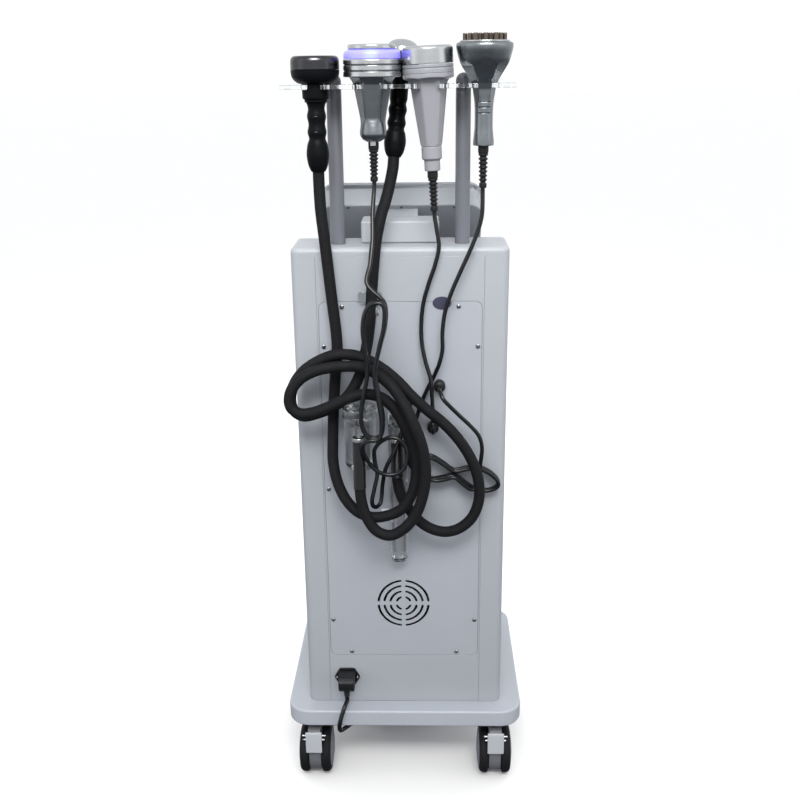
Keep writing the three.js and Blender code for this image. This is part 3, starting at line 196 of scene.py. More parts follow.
def braid(name, color, rough):
    """A plaited sleeve: two sets of strands that cross, drawn in the surface's own coordinates."""
    g = Graph(name)
    split = g.node("SeparateXYZ")
    g.link(g.source.outputs["UV"], split.inputs["Vector"])
    around = g.math("MULTIPLY", split.outputs["X"], TAU * 14)
    along = g.math("MULTIPLY", split.outputs["Y"], TAU / 0.0042)
    one = g.math("SINE", g.math("ADD", around, along))
    two = g.math("SINE", g.math("SUBTRACT", around, along))
    woven = g.math("MULTIPLY", g.math("ADD", g.math("MULTIPLY", one, two), 1.0), 0.5)
    fibre = g.noise(2600, 2)
    height = g.math("ADD", g.math("MULTIPLY", woven, 0.8), g.math("MULTIPLY", fibre, 0.3))
    g.link(g.ramp(height, [(0.15, tint(color, 0.55)), (0.95, tint(color, 1.5))]),
           g.shader.inputs["Base Color"])
    g.link(g.spread(g.noise(60, 4), rough * 0.9, rough * 1.12), g.shader.inputs["Roughness"])
    g.bump(height, 0.5, 0.0006)
    g.set(Specular_IOR_Level=0.18)
    return g.material


def glow_ring(name):
    """A lit ring with a brighter spot at the middle of its rear, where its lamp sits."""
    g = Graph(name)
    drift = g.noise(30, 3)
    split = g.node("SeparateXYZ")
    g.link(g.source.outputs["Object"], split.inputs["Vector"])
    lamp_x = -0.0335
    off = g.math("ABSOLUTE", g.math("SUBTRACT", split.outputs["X"], lamp_x))
    spot = g.math("MULTIPLY", g.spread(off, 1, 0, 0.002, 0.012),
                  g.spread(split.outputs["Y"], 1, 0, -0.136, -0.126))
    glow = g.math("ADD", g.math("MULTIPLY", spot, 0.85), g.math("MULTIPLY", drift, 0.15))
    g.link(g.ramp(drift, [(0.3, (0.20, 0.19, 0.75)), (0.7, (0.26, 0.25, 0.80))]),
           g.shader.inputs["Base Color"])
    g.link(g.ramp(glow, [(0.0, (0.22, 0.20, 1.0)), (0.15, (0.28, 0.27, 1.0)), (0.9, (0.42, 0.60, 0.95))]),
           g.shader.inputs["Emission Color"])
    g.link(g.spread(g.noise(200, 3), 0.25, 0.4), g.shader.inputs["Roughness"])
    g.set(Emission_Strength=0.55)
    return g.material


paint = plastic("cabinet_paint", (0.32, 0.34, 0.37), 0.42, 1100, 0.10, 0.02, specular=0.4)
panel_paint = plastic("panel_paint", (0.32, 0.34, 0.38), 0.44, 1200, 0.12, 0.025, specular=0.4)
board_paint = plastic("board_paint", (0.38, 0.405, 0.45), 0.36, 1000, 0.08, 0.02)
column_paint = plastic("column_paint", (0.126, 0.132, 0.154), 0.36, 900, 0.08, 0.03)
fork_plastic = plastic("fork_plastic", (0.135, 0.143, 0.155), 0.42, 1300, 0.16, 0.04, specular=0.35)
pedal_plastic = plastic("pedal_plastic", (0.42, 0.44, 0.47), 0.40, 1300, 0.12, 0.03, specular=0.35)
hub_plastic = plastic("hub_plastic", (0.20, 0.215, 0.245), 0.42, 1300, 0.14, 0.04, specular=0.35)
black_plastic = plastic("black_plastic", (0.006, 0.0065, 0.008), 0.42, 1500, 0.15, 0.2, specular=0.28)
grip_black = plastic("grip_black", (0.0035, 0.004, 0.005), 0.42, 1500, 0.12, 0.2, specular=0.06)
black_gloss = plastic("black_gloss", (0.005, 0.0055, 0.007), 0.22, 1200, 0.06, 0.2, coat=0.15, specular=0.35)
tyre_rubber = plastic("tyre_rubber", (0.006, 0.0065, 0.008), 0.6, 1900, 0.35, 0.25, specular=0.2)
cord_rubber = plastic("cord_rubber", (0.004, 0.0045, 0.006), 0.24, 1700, 0.10, 0.2, coat=0.1, specular=0.3)
white_plastic = plastic("white_plastic", (0.24, 0.245, 0.27), 0.34, 1000, 0.05, 0.02, coat=0.1)
silver_paint = metal("silver_paint", (0.20, 0.22, 0.235), 0.3, (900, 900, 900), 0.05, "Object", 0.05, 0.15)
dark_metal = metal("dark_metal", (0.06, 0.06, 0.065), 0.24, (2, 1500, 1), 0.05)
steel = metal("steel", (0.47, 0.48, 0.49), 0.26, (3, 2600, 1), 0.10)
# Painted shade: a dark metal for the rings laid in the cavitation head's grooves, standing in for the shade
# inside them
groove_shade_metal = metal("groove_shade_metal", (0.10, 0.105, 0.11), 0.35, (3, 2600, 1), 0.08)
chrome = metal("chrome", (0.44, 0.46, 0.48), 0.06, (4, 900, 1), 0.02, drift=0.03)
gunmetal = metal("gunmetal", (0.13, 0.108, 0.09), 0.26, (2, 1800, 1), 0.08)
screw_metal = metal("screw_metal", (0.30, 0.31, 0.33), 0.2, (900, 900, 900), 0.08, "Object")
casing_metal = metal("casing_metal", (0.5, 0.51, 0.52), 0.38, (30, 2000, 30), 0.08, "Object")
acrylic = clear("acrylic", (0.93, 0.96, 0.97), 0.04)
clear_plastic = clear("clear_plastic", (0.92, 0.945, 0.95), 0.08, 1.46, 0.08)
screen_glass = plastic("screen_glass", (0.006, 0.007, 0.009), 0.08, 300, 0.01, 0.1, coat=0.6)
sticker = plastic("sticker", (0.034, 0.034, 0.065), 0.35, 1500, 0.05, 0.06)
label_paper = plastic("label_paper", (0.74, 0.77, 0.83), 0.42, 1600, 0.05, 0.03)
hose_sleeve = braid("hose_sleeve", (0.005, 0.0053, 0.0065), 0.7)
lit_ring = glow_ring("lit_ring")

# Patches: lists of points in millimetres, faces and surface coordinates, joined into pieces


def lengths(points):
    total, found = 0.0, [0.0]
    for a, b in zip(points, points[1:]):
        total += math.dist(a, b)
        found.append(total)
    return found


def curve_through(points, samples=6):
    """A smooth line through all the points, with even parameter steps."""
    line = []
    last = len(points) - 1
    for i in range(last):
        p0 = points[max(i - 1, 0)]
        p1, p2 = points[i], points[i + 1]
        p3 = points[min(i + 2, last)]
        for step in range(samples):
            t = step / samples
            line.append(tuple(
                0.5 * (2 * b + (c - a) * t + (2 * a - 5 * b + 4 * c - d) * t * t
                       + (3 * b - a - 3 * c + d) * t ** 3)
                for a, b, c, d in zip(p0, p1, p2, p3)
            ))
    line.append(tuple(points[-1]))
    return line


LARGE = 5  # A rounding of this size or more may take 0.9 of each side, a smaller one 0.45


def softened(points, radius, closed=False, steps=4, least=0.2):
    """The line with its corners rounded. The radius is a number, or a function of the corner."""
    count = len(points)
    made = []
    for i, point in enumerate(points):
        if not closed and i in (0, count - 1):
            made.append(tuple(point))
            continue
        before, after = points[i - 1], points[(i + 1) % count]
        a = Vector(before) - Vector(point)
        b = Vector(after) - Vector(point)
        if a.length < 1e-6 or b.length < 1e-6 or math.pi - a.angle(b) < least:
            made.append(tuple(point))
            continue
        wanted = radius(point) if callable(radius) else radius
        most = 0.45 if wanted < LARGE else 0.9
        size = min(wanted, a.length * most, b.length * most)
        start, end = Vector(point) + a.normalized() * size, Vector(point) + b.normalized() * size
        for step in range(steps + 1):
            t = step / steps
            made.append(tuple(start * (1 - t) ** 2 + Vector(point) * 2 * t * (1 - t) + end * t * t))
    return made


def lathe(points, segments=80, shape=None):
    """Radius and height pairs turned round Z. shape(angle, radius, height) may change a radius."""
    verts, faces, uvs, rings = [], [], [], []
    far = max(r for r, _ in points) * MM
    along = lengths(points)
    for radius, height in points:
        if radius < 1e-6:
            rings.append([len(verts)] * (segments + 1))
            verts.append((0, 0, height))
            continue
        first = len(verts)
        for k in range(segments):
            angle = TAU * k / segments
            r = shape(angle, radius, height) if shape else radius
            verts.append((r * math.cos(angle), r * math.sin(angle), height))
        rings.append([first + k for k in range(segments)] + [first])
    for i in range(len(rings) - 1):
        low, high = rings[i], rings[i + 1]
        for k in range(segments):
            corners = [(low[k], k, i), (low[k + 1], k + 1, i),
                       (high[k + 1], k + 1, i + 1), (high[k], k, i + 1)]
            kept = []
            for corner in corners:
                if corner[0] not in [c[0] for c in kept]:
                    kept.append(corner)
            if len(kept) > 2:
                faces.append([c[0] for c in kept])
                uvs.append([(c[1] / segments * TAU * far, along[c[2]] * MM) for c in kept])
    return verts, faces, uvs


def spun(points, edge, segments=40, steps=4, shape=None):
    """A turned solid with softened corners, closed to its axis at both ends."""
    line = [(0, points[0][1]), *points, (0, points[-1][1])]
    return lathe(softened(line, edge, steps=steps), segments, shape)


def inset(outline, distance):
    """A closed outline moved to its left by a distance."""
    count = len(outline)
    moved = []
    for i in range(count):
        a, b, c = Vector(outline[i - 1]), Vector(outline[i]), Vector(outline[(i + 1) % count])
        one, two = (b - a).normalized(), (c - b).normalized()
        n1, n2 = Vector((-one.y, one.x)), Vector((-two.y, two.x))
        middle = n1 + n2
        scale = 1 / max(0.35, 1 + n1.dot(n2))
        moved.append(tuple(b + middle * distance * scale))
    return moved


def area(outline):
    return sum(a[0] * b[1] - b[0] * a[1] for a, b in zip(outline, outline[1:] + outline[:1])) / 2


def slab(outlines, low, high, edge=0.5, steps=3):
    """A flat piece with rounded edges from a first outline and the holes in it."""
    verts, faces = [], []
    levels = []
    for k in range(steps + 1):
        angle = math.pi / 2 * k / steps
        levels.append((edge * (1 - math.sin(angle)), low + edge * (1 - math.cos(angle))))
    levels += [(d, high + low - z) for d, z in reversed(levels)]
    tops, bottoms = [], []
    for number, outline in enumerate(outlines):
        if (area(outline) > 0) != (number == 0):
            outline = outline[::-1]
        starts = []
        for d, z in levels:
            starts.append(len(verts))
            verts += [(x, y, z) for x, y in (inset(outline, d) if d > 1e-9 else outline)]
        count = len(outline)
        for a, b in zip(starts, starts[1:]):
            for i in range(count):
                j = (i + 1) % count
                faces.append([a + i, a + j, b + j, b + i])
        bottoms.append(range(starts[0], starts[0] + count))
        tops.append(range(starts[-1], starts[-1] + count))
    for group in (bottoms, tops):
        flat = [i for ring in group for i in ring]
        loops = [[Vector((verts[i][0], verts[i][1], 0)) for i in ring] for ring in group]
        triangles = tessellate_polygon(loops)
        faces += [[flat[i] for i in triangle] for triangle in triangles]
    return verts, faces, None


def arc(x, y, radius, start, end, count):
    angles = [start + (end - start) * k / count for k in range(count + 1)]
    return [(x + radius * math.cos(angle), y + radius * math.sin(angle)) for angle in angles]


def rounded(width, height, radius, x=0.0, y=0.0, steps=8):
    points = []
    for sx, sy, start in ((1, -1, -0.25), (1, 1, 0), (-1, 1, 0.25), (-1, -1, 0.5)):
        cx, cy = x + sx * (width / 2 - radius), y + sy * (height / 2 - radius)
        points += arc(cx, cy, radius, TAU * start, TAU * (start + 0.25), steps)
    return points


def circle(radius, x=0.0, y=0.0, steps=32):
    return arc(x, y, radius, 0, TAU, steps)[:-1]


def block(xs, ys, zs, edge=1.0, corner=None):
    """A box with rounded edges."""
    corner = edge if corner is None else corner
    middle = ((xs[0] + xs[1]) / 2, (ys[0] + ys[1]) / 2)
    return slab([rounded(xs[1] - xs[0], ys[1] - ys[0], corner, *middle, steps=5)], zs[0], zs[1], edge)


UPRIGHT = Matrix(((1, 0, 0, 0), (0, 0, 1, 0), (0, 1, 0, 0), (0, 0, 0, 1)))
SIDEWAYS = Matrix(((0, 0, 1, 0), (1, 0, 0, 0), (0, 1, 0, 0), (0, 0, 0, 1)))
ALONG_X = Matrix.Rotation(math.pi / 2, 4, "Y")
TO_REAR = Matrix.Rotation(math.pi / 2, 4, "X")


def move(x, y, z):
    return Matrix.Translation((x, y, z))


def piece(name, body, parts, replaces=(), weighted=True):
    """One object from (patch, material) or (patch, material, matrix) parts, in millimetres."""
    mesh = bpy.data.meshes.new(name)
    verts, faces, indices, coords, order = [], [], [], [], []
    for patch, material, *matrix in parts:
        matrix = matrix[0] if matrix else Matrix.Identity(4)
        if material not in order:
            order.append(material)
        first = len(verts)
        moved = [matrix @ Vector(v) for v in patch[0]]
        verts += [at(*v) for v in moved]
        faces += [[first + i for i in face] for face in patch[1]]
        indices += [order.index(material)] * len(patch[1])
        for number, face in enumerate(patch[1]):
            if patch[2]:
                coords += patch[2][number]
            else:
                coords += [(patch[0][i][0] * MM, patch[0][i][1] * MM) for i in face]
    mesh.from_pydata(verts, [], faces)
    for material in order:
        mesh.materials.append(material)
    mesh.polygons.foreach_set("material_index", indices)
    layer = mesh.uv_layers.new(name="surface")
    layer.data.foreach_set("uv", [c for pair in coords for c in pair])
    work = bmesh.new()
    work.from_mesh(mesh)
    bmesh.ops.recalc_face_normals(work, faces=work.faces)
    work.to_mesh(mesh)
    work.free()
    mesh.shade_smooth()
    mesh.set_sharp_from_angle(angle=math.radians(48))
    made = bpy.data.objects.new(name, mesh)
    bpy.context.scene.collection.objects.link(made)
    if weighted:
        made.modifiers.new("normals", "WEIGHTED_NORMAL").keep_sharp = True
    if body:
        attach(made, body)
    if replaces:
        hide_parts(*replaces)
    return made


# Cords and hoses. Their points are listed one by one, as in the CAD source, and the leads bend more gently
# here


def mixed(a, b, start, end, t):
    share = (t - start) / (end - start)
    return a * (1 - share) + b * share


def centripetal(points, step):
    """The curve that the CAD's tubes follow through their points, at even steps."""
    points = [Vector(p) for p in points]
    points = [points[0] * 2 - points[1]] + points + [points[-1] * 2 - points[-2]]
    line = []
    for i in range(1, len(points) - 2):
        p = points[i - 1:i + 3]
        times = [0.0]
        for a, b in zip(p, p[1:]):
            times.append(times[-1] + max((b - a).length, 1e-6) ** 0.5)
        count = max(2, math.ceil((p[2] - p[1]).length / step))
        for k in range(count):
            t = times[1] + (times[2] - times[1]) * k / count
            one = [mixed(p[j], p[j + 1], times[j], times[j + 1], t) for j in range(3)]
            two = [mixed(one[j], one[j + 1], times[j], times[j + 2], t) for j in range(2)]
            line.append(mixed(two[0], two[1], times[1], times[2], t))
    line.append(points[-2])
    return line


def tube(path, diameter, sides=20):
    """A closed tube along a path in millimetres, with its surface coordinates round and along."""
    verts, faces, uvs = [], [], []
    along = lengths(path)
    direction = (path[1] - path[0]).normalized()
    side = direction.orthogonal().normalized()
    count = len(path)
    for i, point in enumerate(path):
        ahead = (path[min(i + 1, count - 1)] - path[max(i - 1, 0)]).normalized()
        side = (side - ahead * side.dot(ahead)).normalized()
        other = ahead.cross(side)
        for k in range(sides):
            angle = TAU * k / sides
            verts.append(tuple(point + (side * math.cos(angle) + other * math.sin(angle)) * diameter / 2))
    for i in range(count - 1):
        for k in range(sides):
            a, b = i * sides + k, i * sides + (k + 1) % sides
            faces.append([a, b, b + sides, a + sides])
            u, v = k / sides, (k + 1) / sides
            low, high = along[i] * MM, along[i + 1] * MM
            uvs.append([(u, low), (v, low), (v, high), (u, high)])
    for first in (0, (count - 1) * sides):
        faces.append([first + k for k in range(sides)])
        uvs.append([(k / sides, 0) for k in range(sides)])
    return verts, faces, uvs


CORD_STEP = 2.5


def cord(name, points, diameter, material, nodes, blend=None, sides=20):
    path = centripetal(points, CORD_STEP)
    made = piece(name, None, [(tube(path, diameter, sides), material)], nodes, weighted=False)
    if blend:
        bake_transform(made)
    else:
        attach(made, "cabinet")
    length = lengths(path)[-1] * MM


LOOP_STEPS = 24  # Points in one turn
HANK_PITCH, HANK_LEAD, WAIST_REACH = 6.6, 6, 0.35


def hank(centre, along, across, bow, turns, start, waist, narrow, lead_in, lead_out, shrink, fold):
    """The points of a bundle of long turns, with a lead at each end.

    along and across are half its length and width, and bow moves its two ends. start is a share of a turn.
    waist pinches the middle, narrow draws the later turns in and shrink the last half turn. fold widens
    the bends at the ends. lead_in and lead_out are the headings of the two leads.
    """
    points = []
    count = round(turns * LOOP_STEPS)
    centre, along, across, bow = Vector(centre), Vector(along), Vector(across), Vector(bow)
    for step in range(count + 1):
        angle = TAU * (start + step / LOOP_STEPS)
        drawn = (1 - narrow * step / count) * (1 - waist * math.exp(-(math.cos(angle) / WAIST_REACH) ** 2))
        left = (count - step) * 2 / LOOP_STEPS
        smaller = 1 - shrink * max(0.0, 1 - left)
        reach = math.cos(angle) * (1 + fold * math.sin(angle) ** 2)
        sideways = math.sin(angle) * (1 + fold * math.cos(angle) ** 2)
        point = centre + along * reach * smaller + across * sideways * drawn
        point += bow * math.cos(angle) ** 2
        point.y -= HANK_PITCH * step / LOOP_STEPS
        points.append(point)
    first = points[0] - Vector(lead_in) * HANK_LEAD
    last = points[-1] + Vector(lead_out) * HANK_LEAD
    return [first, *points, last]


VACUUM, CAVITATION, SMALL = (-109.4, -140), (-33.5, -140), (1.8, -88)
WHITE, PIN = (41.3, -140), (115, -140)
TOP = 1094.5  # The plate's top face
PLUG_WHITE, PLUG_PIN, PLUG_CAVITATION, PLUG_Y = (46.6, 609.6), (56.2, 673.4), (14, 655), -153.6

hose_one = [
    (*VACUUM, 980.7), (*VACUUM, 964.7), (-108, -143, 930), (-104, -147, 891), (-97, -152, 819),
    (-90, -156, 737), (-94, -157, 694), (-98, -158, 643), (-100, -162, 598), (-100, -168, 564),
    (-94, -176, 537), (-82, -184, 513), (-65, -190, 496), (-45, -194, 489), (-23, -195, 491),
    (0, -195, 502), (16, -194, 527), (22, -193, 561), (16, -192, 598), (4, -192, 633), (-12, -192, 660),
    (-31, -193, 675), (-54, -194, 678), (-78, -195, 671), (-102, -196, 660), (-125, -197, 652),
    (-143, -197, 651), (-155, -197, 661), (-155, -196, 680), (-142, -194, 699), (-121, -191, 711),
    (-98, -189, 716), (-76, -189, 718), (-55, -190, 717), (-34, -191, 708), (-12, -195, 690),
    (7, -206, 664), (20, -213, 638), (30, -214, 610), (35, -214, 580), (35, -214, 553), (30, -214, 526),
    (20, -214, 500), (3, -214, 479), (-16, -214, 469), (-35, -213, 475), (-49, -211, 494), (-57, -209, 520),
    (-59, -208, 548), (-59, -208, 585), (-59, -208, 619.7),
]
lean = Matrix.Rotation(-math.radians(12), 4, "X") @ Matrix.Rotation(math.radians(5.2), 4, "Y")
small_place = move(*SMALL, TOP) @ lean
white_place = move(*WHITE, TOP + 0.7) @ Matrix.Rotation(-math.radians(2.5), 4, "Y")


def below(place, distance):
    """A point on a leaning handpiece's axis, below the plate's top face."""
    return tuple(place @ Vector((0, 0, -distance)))


hose_three = [
    below(small_place, 100.3), below(small_place, 116), (-17, -124, 945), (-25, -136, 920),
    (-32, -146, 888), (-36, -152, 854), (-39, -155, 819), (-42, -159, 777), (-48, -164, 737),
    (-58, -170, 699), (-75, -175, 670), (-97, -177, 654), (-120, -177, 644), (-140, -177, 640),
    (-153, -177, 648), (-157, -177, 664), (-153, -176, 684), (-140, -175, 704), (-120, -174, 719),
    (-96, -173, 729), (-71, -172, 730), (-48, -172, 723), (-25, -172, 709), (-4, -173, 691),
    (16, -174, 669), (37, -175, 649), (58, -175, 631), (77, -175, 611), (94, -175, 587), (107, -175, 560),
    (114, -175, 530), (113, -175, 503), (103, -175, 478), (84, -175, 461), (64, -175, 456), (44, -175, 461),
    (25, -176, 475), (9, -177, 497), (-2, -177, 520), (-6, -177, 545), (-6, -177, 575), (-6, -177, 606.7),
]
hank_two = hank((-39, -207, 717), (4, 0, 98), (18, 0, 0), (7, 0, 0), 29 / 12, 1 / 12, 0.7, 0.12,
                (0.36, 0, -0.93), (-1, 0, 0), 0, 0.35)
hank_five = hank((78, -142, 540), (66, 0, -17), (0, 0, 25), (0, 0, 0), 2.5, 0.5, 0.8, 0.15,
                 (0, 0, -1), (0, 0, 1), 0.45, 0)
cord_two = [
    (*CAVITATION, 966.4), (*CAVITATION, 960.4), (-36, -152, 926), (-36, -168, 891), (-39, -184, 861),
    (-43, -199, 837), *hank_two, (-52, -222, 614), (-53, -220, 603), (-48, -216, 590), (-40, -212, 575),
    (-28, -210, 565), (-12, -209, 562), (2, -208, 568), (9, -207, 583), (8, -206, 600), (0, -205, 613),
    (-13, -204, 617), (-27, -203, 611), (-37, -202, 598), (-37, -201, 580), (-34, -202, 560),
    (-38, -204, 540), (-42, -205.5, 518), (-40.1, -203.2, 510), (-35.5, -197.5, 507), (-30.9, -191.8, 510),
    (-29, -189.5, 518), (-27, -189, 540), (-22, -192, 565), (-10, -192, 590), (0, -186, 614),
    (5, -181, 632), (10, -178, 645), (13.4, -170, 653),
    (PLUG_CAVITATION[0], PLUG_Y - 6, PLUG_CAVITATION[1]),
    (PLUG_CAVITATION[0], PLUG_Y + 5, PLUG_CAVITATION[1]),
]
cord_four = [
    below(white_place, 169.9), below(white_place, 175.9), (52, -144, 901), (55, -147, 878), (50, -148, 854),
    (40, -147, 824), (33, -146, 797), (30, -146, 765), (31, -147, 738), (36, -151, 713), (43, -157, 689),
    (45, -158, 665), (46, -159, 647), (46.3, -166, 633), (46.6, -172.5, 623), (46.6, -172, 614.5),
    (46.6, -166.5, 610.2), (PLUG_WHITE[0], PLUG_Y - 4, PLUG_WHITE[1]),
    (PLUG_WHITE[0], PLUG_Y, PLUG_WHITE[1]),
]
cord_five = [
    (*PIN, 956.7), (*PIN, 950.7), (114, -146, 921), (109, -149, 901), (100, -153, 878), (86, -156, 847),
    (74, -156, 819), (64, -155, 788), (60, -155, 757), (60, -155, 731), (55, -154, 709), (49, -149, 693),
    (40, -147, 674), (32, -145, 655), (24, -143, 630), (16, -142, 605), *hank_five, (116, -161, 558),
    (118, -162, 586), (113, -163, 604), (99, -166, 622), (84, -170, 638), (71, -175, 653), (61, -177, 665),
    (57, -170, 672), (PLUG_PIN[0], PLUG_Y - 6, PLUG_PIN[1]), (PLUG_PIN[0], PLUG_Y, PLUG_PIN[1]),
]


def mains_coil():
    points = []
    layer, climb = 42, 12
    count = layer * 2 + climb
    half = layer + climb / 2
    for step in range(count + 1):
        angle = math.pi - TAU * step / LOOP_STEPS
        rise = min(1.0, max(0.0, (step - layer) / climb))
        rise = rise * rise * (3 - 2 * rise)
        radius = 52 - 7.8 / LOOP_STEPS * (half - abs(step - half))
        x, y = -8 + radius * math.cos(angle), 42 + radius * math.sin(angle)
        points.append(Vector((x, y, 3.8 + 7.8 * rise)))
    start = (points[0] - points[1]).normalized() * 7
    end = (points[-1] - points[-2]).normalized() * 35
    return [points[0] + start, *points, points[-1] + end]


coil = mains_coil()
coil_start = (coil[0] - coil[1]).normalized()
mains = [
    (-92, -155, 154.7), (-92, -155, 147.7), (-96, -166, 141), (-101, -173, 127), (-104, -174, 112),
    (-103, -168, 100), (-98, -158, 96), (-88, -140, 92), (-80, -110, 75), (-72, -70, 48), (-66, -34, 21),
    (-62, -6, 8), tuple(coil[0] + coil_start * 21), *coil,
]
plug_start = coil[-1]
plug_heading = coil[-1] - coil[-2]

cord("hose_vacuum_sleeve", hose_one, 16, hose_sleeve, ["hose_vacuum"],
     blend=("vacuum_handpiece", (-109, -140, 975), (-92, -156, 760)), sides=32)
cord("hose_small_sleeve", hose_three, 16, hose_sleeve, ["hose_small"],
     blend=("small_handpiece", (-20, -128, 975), (-42, -159, 775)), sides=32)


def panel_plug(x, z):
    profile = [(5.7, -8), (5.7, 0), (8.5, 0), (8.5, 2.4), (8.0, 2.8), (8.0, 3.4), (8.5, 3.8), (8.5, 10.6),
               (7.6, 12.4), (4.7, 13.6), (4.5, 18)]
    return (spun(profile, 0.5, 48), black_plastic, move(x, MOUNT_FACE, z) @ TO_REAR)


plug_cavitation = piece("plug_cavitation", "cabinet", [panel_plug(*PLUG_CAVITATION)])
cord("cord_cavitation_lead", cord_two, 6, cord_rubber,
     ["cord_cavitation", "cord_hank_cavitation", "cord_cavitation_tail"],
     blend=("cavitation_handpiece", (-34, -140, 960), (-34, -180, 845)))
cord("cord_white_lead", cord_four, 6, cord_rubber, ["cord_white"],
     blend=("white_handpiece", (49, -140, 918), (40, -147, 720)))
cord("cord_pin_lead", cord_five, 6, cord_rubber, ["cord_pin", "cord_hank_pin", "cord_pin_tail"],
     blend=("pin_handpiece", (115, -140, 950), (60, -155, 740)))
cord("mains_lead", mains, 7, cord_rubber, ["mains_cord", "mains_coil"])

# Floor, backdrop and light


def make_stage():
    """A wide white floor that meets the white sky. It throws no light up on the machine."""
    mesh = bpy.data.meshes.new("floor")
    reach = 40
    corners = [(-reach, -reach, 0), (reach, -reach, 0), (reach, reach, 0), (-reach, reach, 0)]
    mesh.from_pydata(corners, [], [(0, 1, 2, 3)])
    mesh.materials.append(plastic("floor_white", (0.95, 0.95, 0.95), 0.6, 300, 0.02, 0.005, specular=0.1))
    floor = bpy.data.objects.new("floor", mesh)
    bpy.context.scene.collection.objects.link(floor)
    floor.visible_diffuse = False
    floor.visible_glossy = False


def area_light(name, place, target, size, power, color=(1, 1, 1), spread=180):
    data = bpy.data.lights.new(name, "AREA")
    data.shape = "RECTANGLE"
    data.spread = math.radians(spread)
    data.size, data.size_y = size
    data.energy = power
    data.color = color
    lamp = bpy.data.objects.new(name, data)
    bpy.context.scene.collection.objects.link(lamp)
    lamp.location = place
    lamp.rotation_mode = "QUATERNION"
    lamp.rotation_quaternion = (Vector(place) - Vector(target)).to_track_quat("Z", "Y")


def make_light():
    world = bpy.data.worlds.new("studio")
    bpy.context.scene.world = world
    world.use_nodes = True
    tree = world.node_tree
    back = tree.nodes["Background"]
    coords = tree.nodes.new("ShaderNodeTexCoord")
    split = tree.nodes.new("ShaderNodeSeparateXYZ")
    rise = tree.nodes.new("ShaderNodeMapRange")
    sky = tree.nodes.new("ShaderNodeValToRGB")
    rise.inputs["From Min"].default_value, rise.inputs["From Max"].default_value = -0.45, -0.1
    sky.color_ramp.elements[0].color = (0.13, 0.135, 0.15, 1)
    sky.color_ramp.elements[1].color = (0.985, 0.99, 1.0, 1)
    tree.links.new(coords.outputs["Generated"], split.inputs["Vector"])
    tree.links.new(split.outputs["Z"], rise.inputs["Value"])
    tree.links.new(rise.outputs["Result"], sky.inputs["Fac"])
    tree.links.new(sky.outputs["Color"], back.inputs["Color"])
    back.inputs["Strength"].default_value = 1.06
    bpy.context.scene.view_settings.view_transform = "Standard"
    area_light("key", (0.1, -1.9, 2.6), (0, 0, 1.0), (1.8, 1.0), 10, (1, 0.99, 0.97), 46)
    area_light("left", (-2.6, -1.2, 1.8), (0, 0, 0.7), (1.6, 2.2), 6, (0.94, 0.97, 1.0))
    area_light("right", (2.6, -1.0, 1.8), (0, 0, 0.7), (1.6, 2.2), 6, (0.95, 0.97, 1.0))


make_stage()
make_light()

# Cabinet

HALF_WIDTH, REAR_FACE, FRONT_FACE = 155, -135, 135
FLAT_END, DECK_FRONT, CABINET_TOP, FLOOR = -43, 710, 875, 133.3
EDGE, CORNER, WALL, BEND = 7.0, 12, 2.5, 8
INLET_X, INLET_Z, INLET_FACE = -92, 180, -138.3
SIDE_ROWS = range(-115, 120, 6)


def cover_height(y):
    """Height of the top: flat behind, sloping down to the front, with a soft bend."""
    slope = (DECK_FRONT - CABINET_TOP) / (FRONT_FACE - FLAT_END)
    if y <= FLAT_END - BEND:
        return CABINET_TOP
    if y >= FLAT_END + BEND:
        return CABINET_TOP + slope * (y - FLAT_END)
    t = (y - FLAT_END + BEND) / (2 * BEND)
    return CABINET_TOP + slope * BEND * t * t


def plan(inward, drop):
    """The cabinet's plan outline, set inward, at a drop below the cover's top."""
    reach = HALF_WIDTH - inward
    corners = rounded(2 * reach, 2 * (FRONT_FACE - inward), CORNER - inward)
    right, left = [(reach, y) for y in SIDE_ROWS], [(-reach, y) for y in reversed(SIDE_ROWS)]
    points = corners[:9] + right + corners[9:27] + left + corners[27:]
    return [(x, y, cover_height(y) - drop) for x, y in points]


def lofted(rings):
    count = len(rings[0])
    faces = []
    for i in range(len(rings) - 1):
        for k in range(count):
            a, b = i * count + k, i * count + (k + 1) % count
            faces.append([a, b, b + count, a + count])
    return [v for ring in rings for v in ring], faces


def top_cover():
    rings = [plan(0, 12.5), plan(0, EDGE)]
    for k in range(1, 7):
        angle = math.pi / 2 * k / 6
        rings.append(plan(EDGE * (1 - math.cos(angle)), EDGE * (1 - math.sin(angle))))
    verts, faces = lofted(rings)
    last = rings[-1]
    first = len(verts) - len(last)
    rows = {}
    for i in sorted(range(len(last)), key=lambda i: (round(last[i][1], 3), last[i][0])):
        rows.setdefault(round(last[i][1], 3), []).append(i)
    ends = [(row[0], row[-1]) for row in rows.values()]
    for (a, b), (c, d) in zip(ends, ends[1:]):
        face = [first + a, first + b, first + d, first + c]
        faces.append([i for n, i in enumerate(face) if i not in face[:n]])
    return verts, faces, None


def side_wall(side):
    """A side that wraps round both corners, as one bent sheet."""
    sheet = []
    x, y, seam = HALF_WIDTH - CORNER, FRONT_FACE - CORNER, 120
    for radius in (CORNER, CORNER - WALL):
        sheet.append([(seam, -y - radius), *arc(x, -y, radius, -TAU / 4, 0, 8),
                      *[(x + radius, row) for row in SIDE_ROWS],
                      *arc(x, y, radius, 0, TAU / 4, 8), (seam, y + radius)])
    loop = sheet[0] + sheet[1][::-1]
    count, half = len(loop), len(sheet[0])
    low = [(side * x, y, FLOOR) for x, y in loop]
    high = [(side * x, y, cover_height(y) - 12.6) for x, y in loop]
    verts, faces = lofted([low, high])
    for start in (0, count):
        for k in range(half - 1):
            faces.append([start + k, start + k + 1, start + count - 2 - k, start + count - 1 - k])
    return verts, faces, None


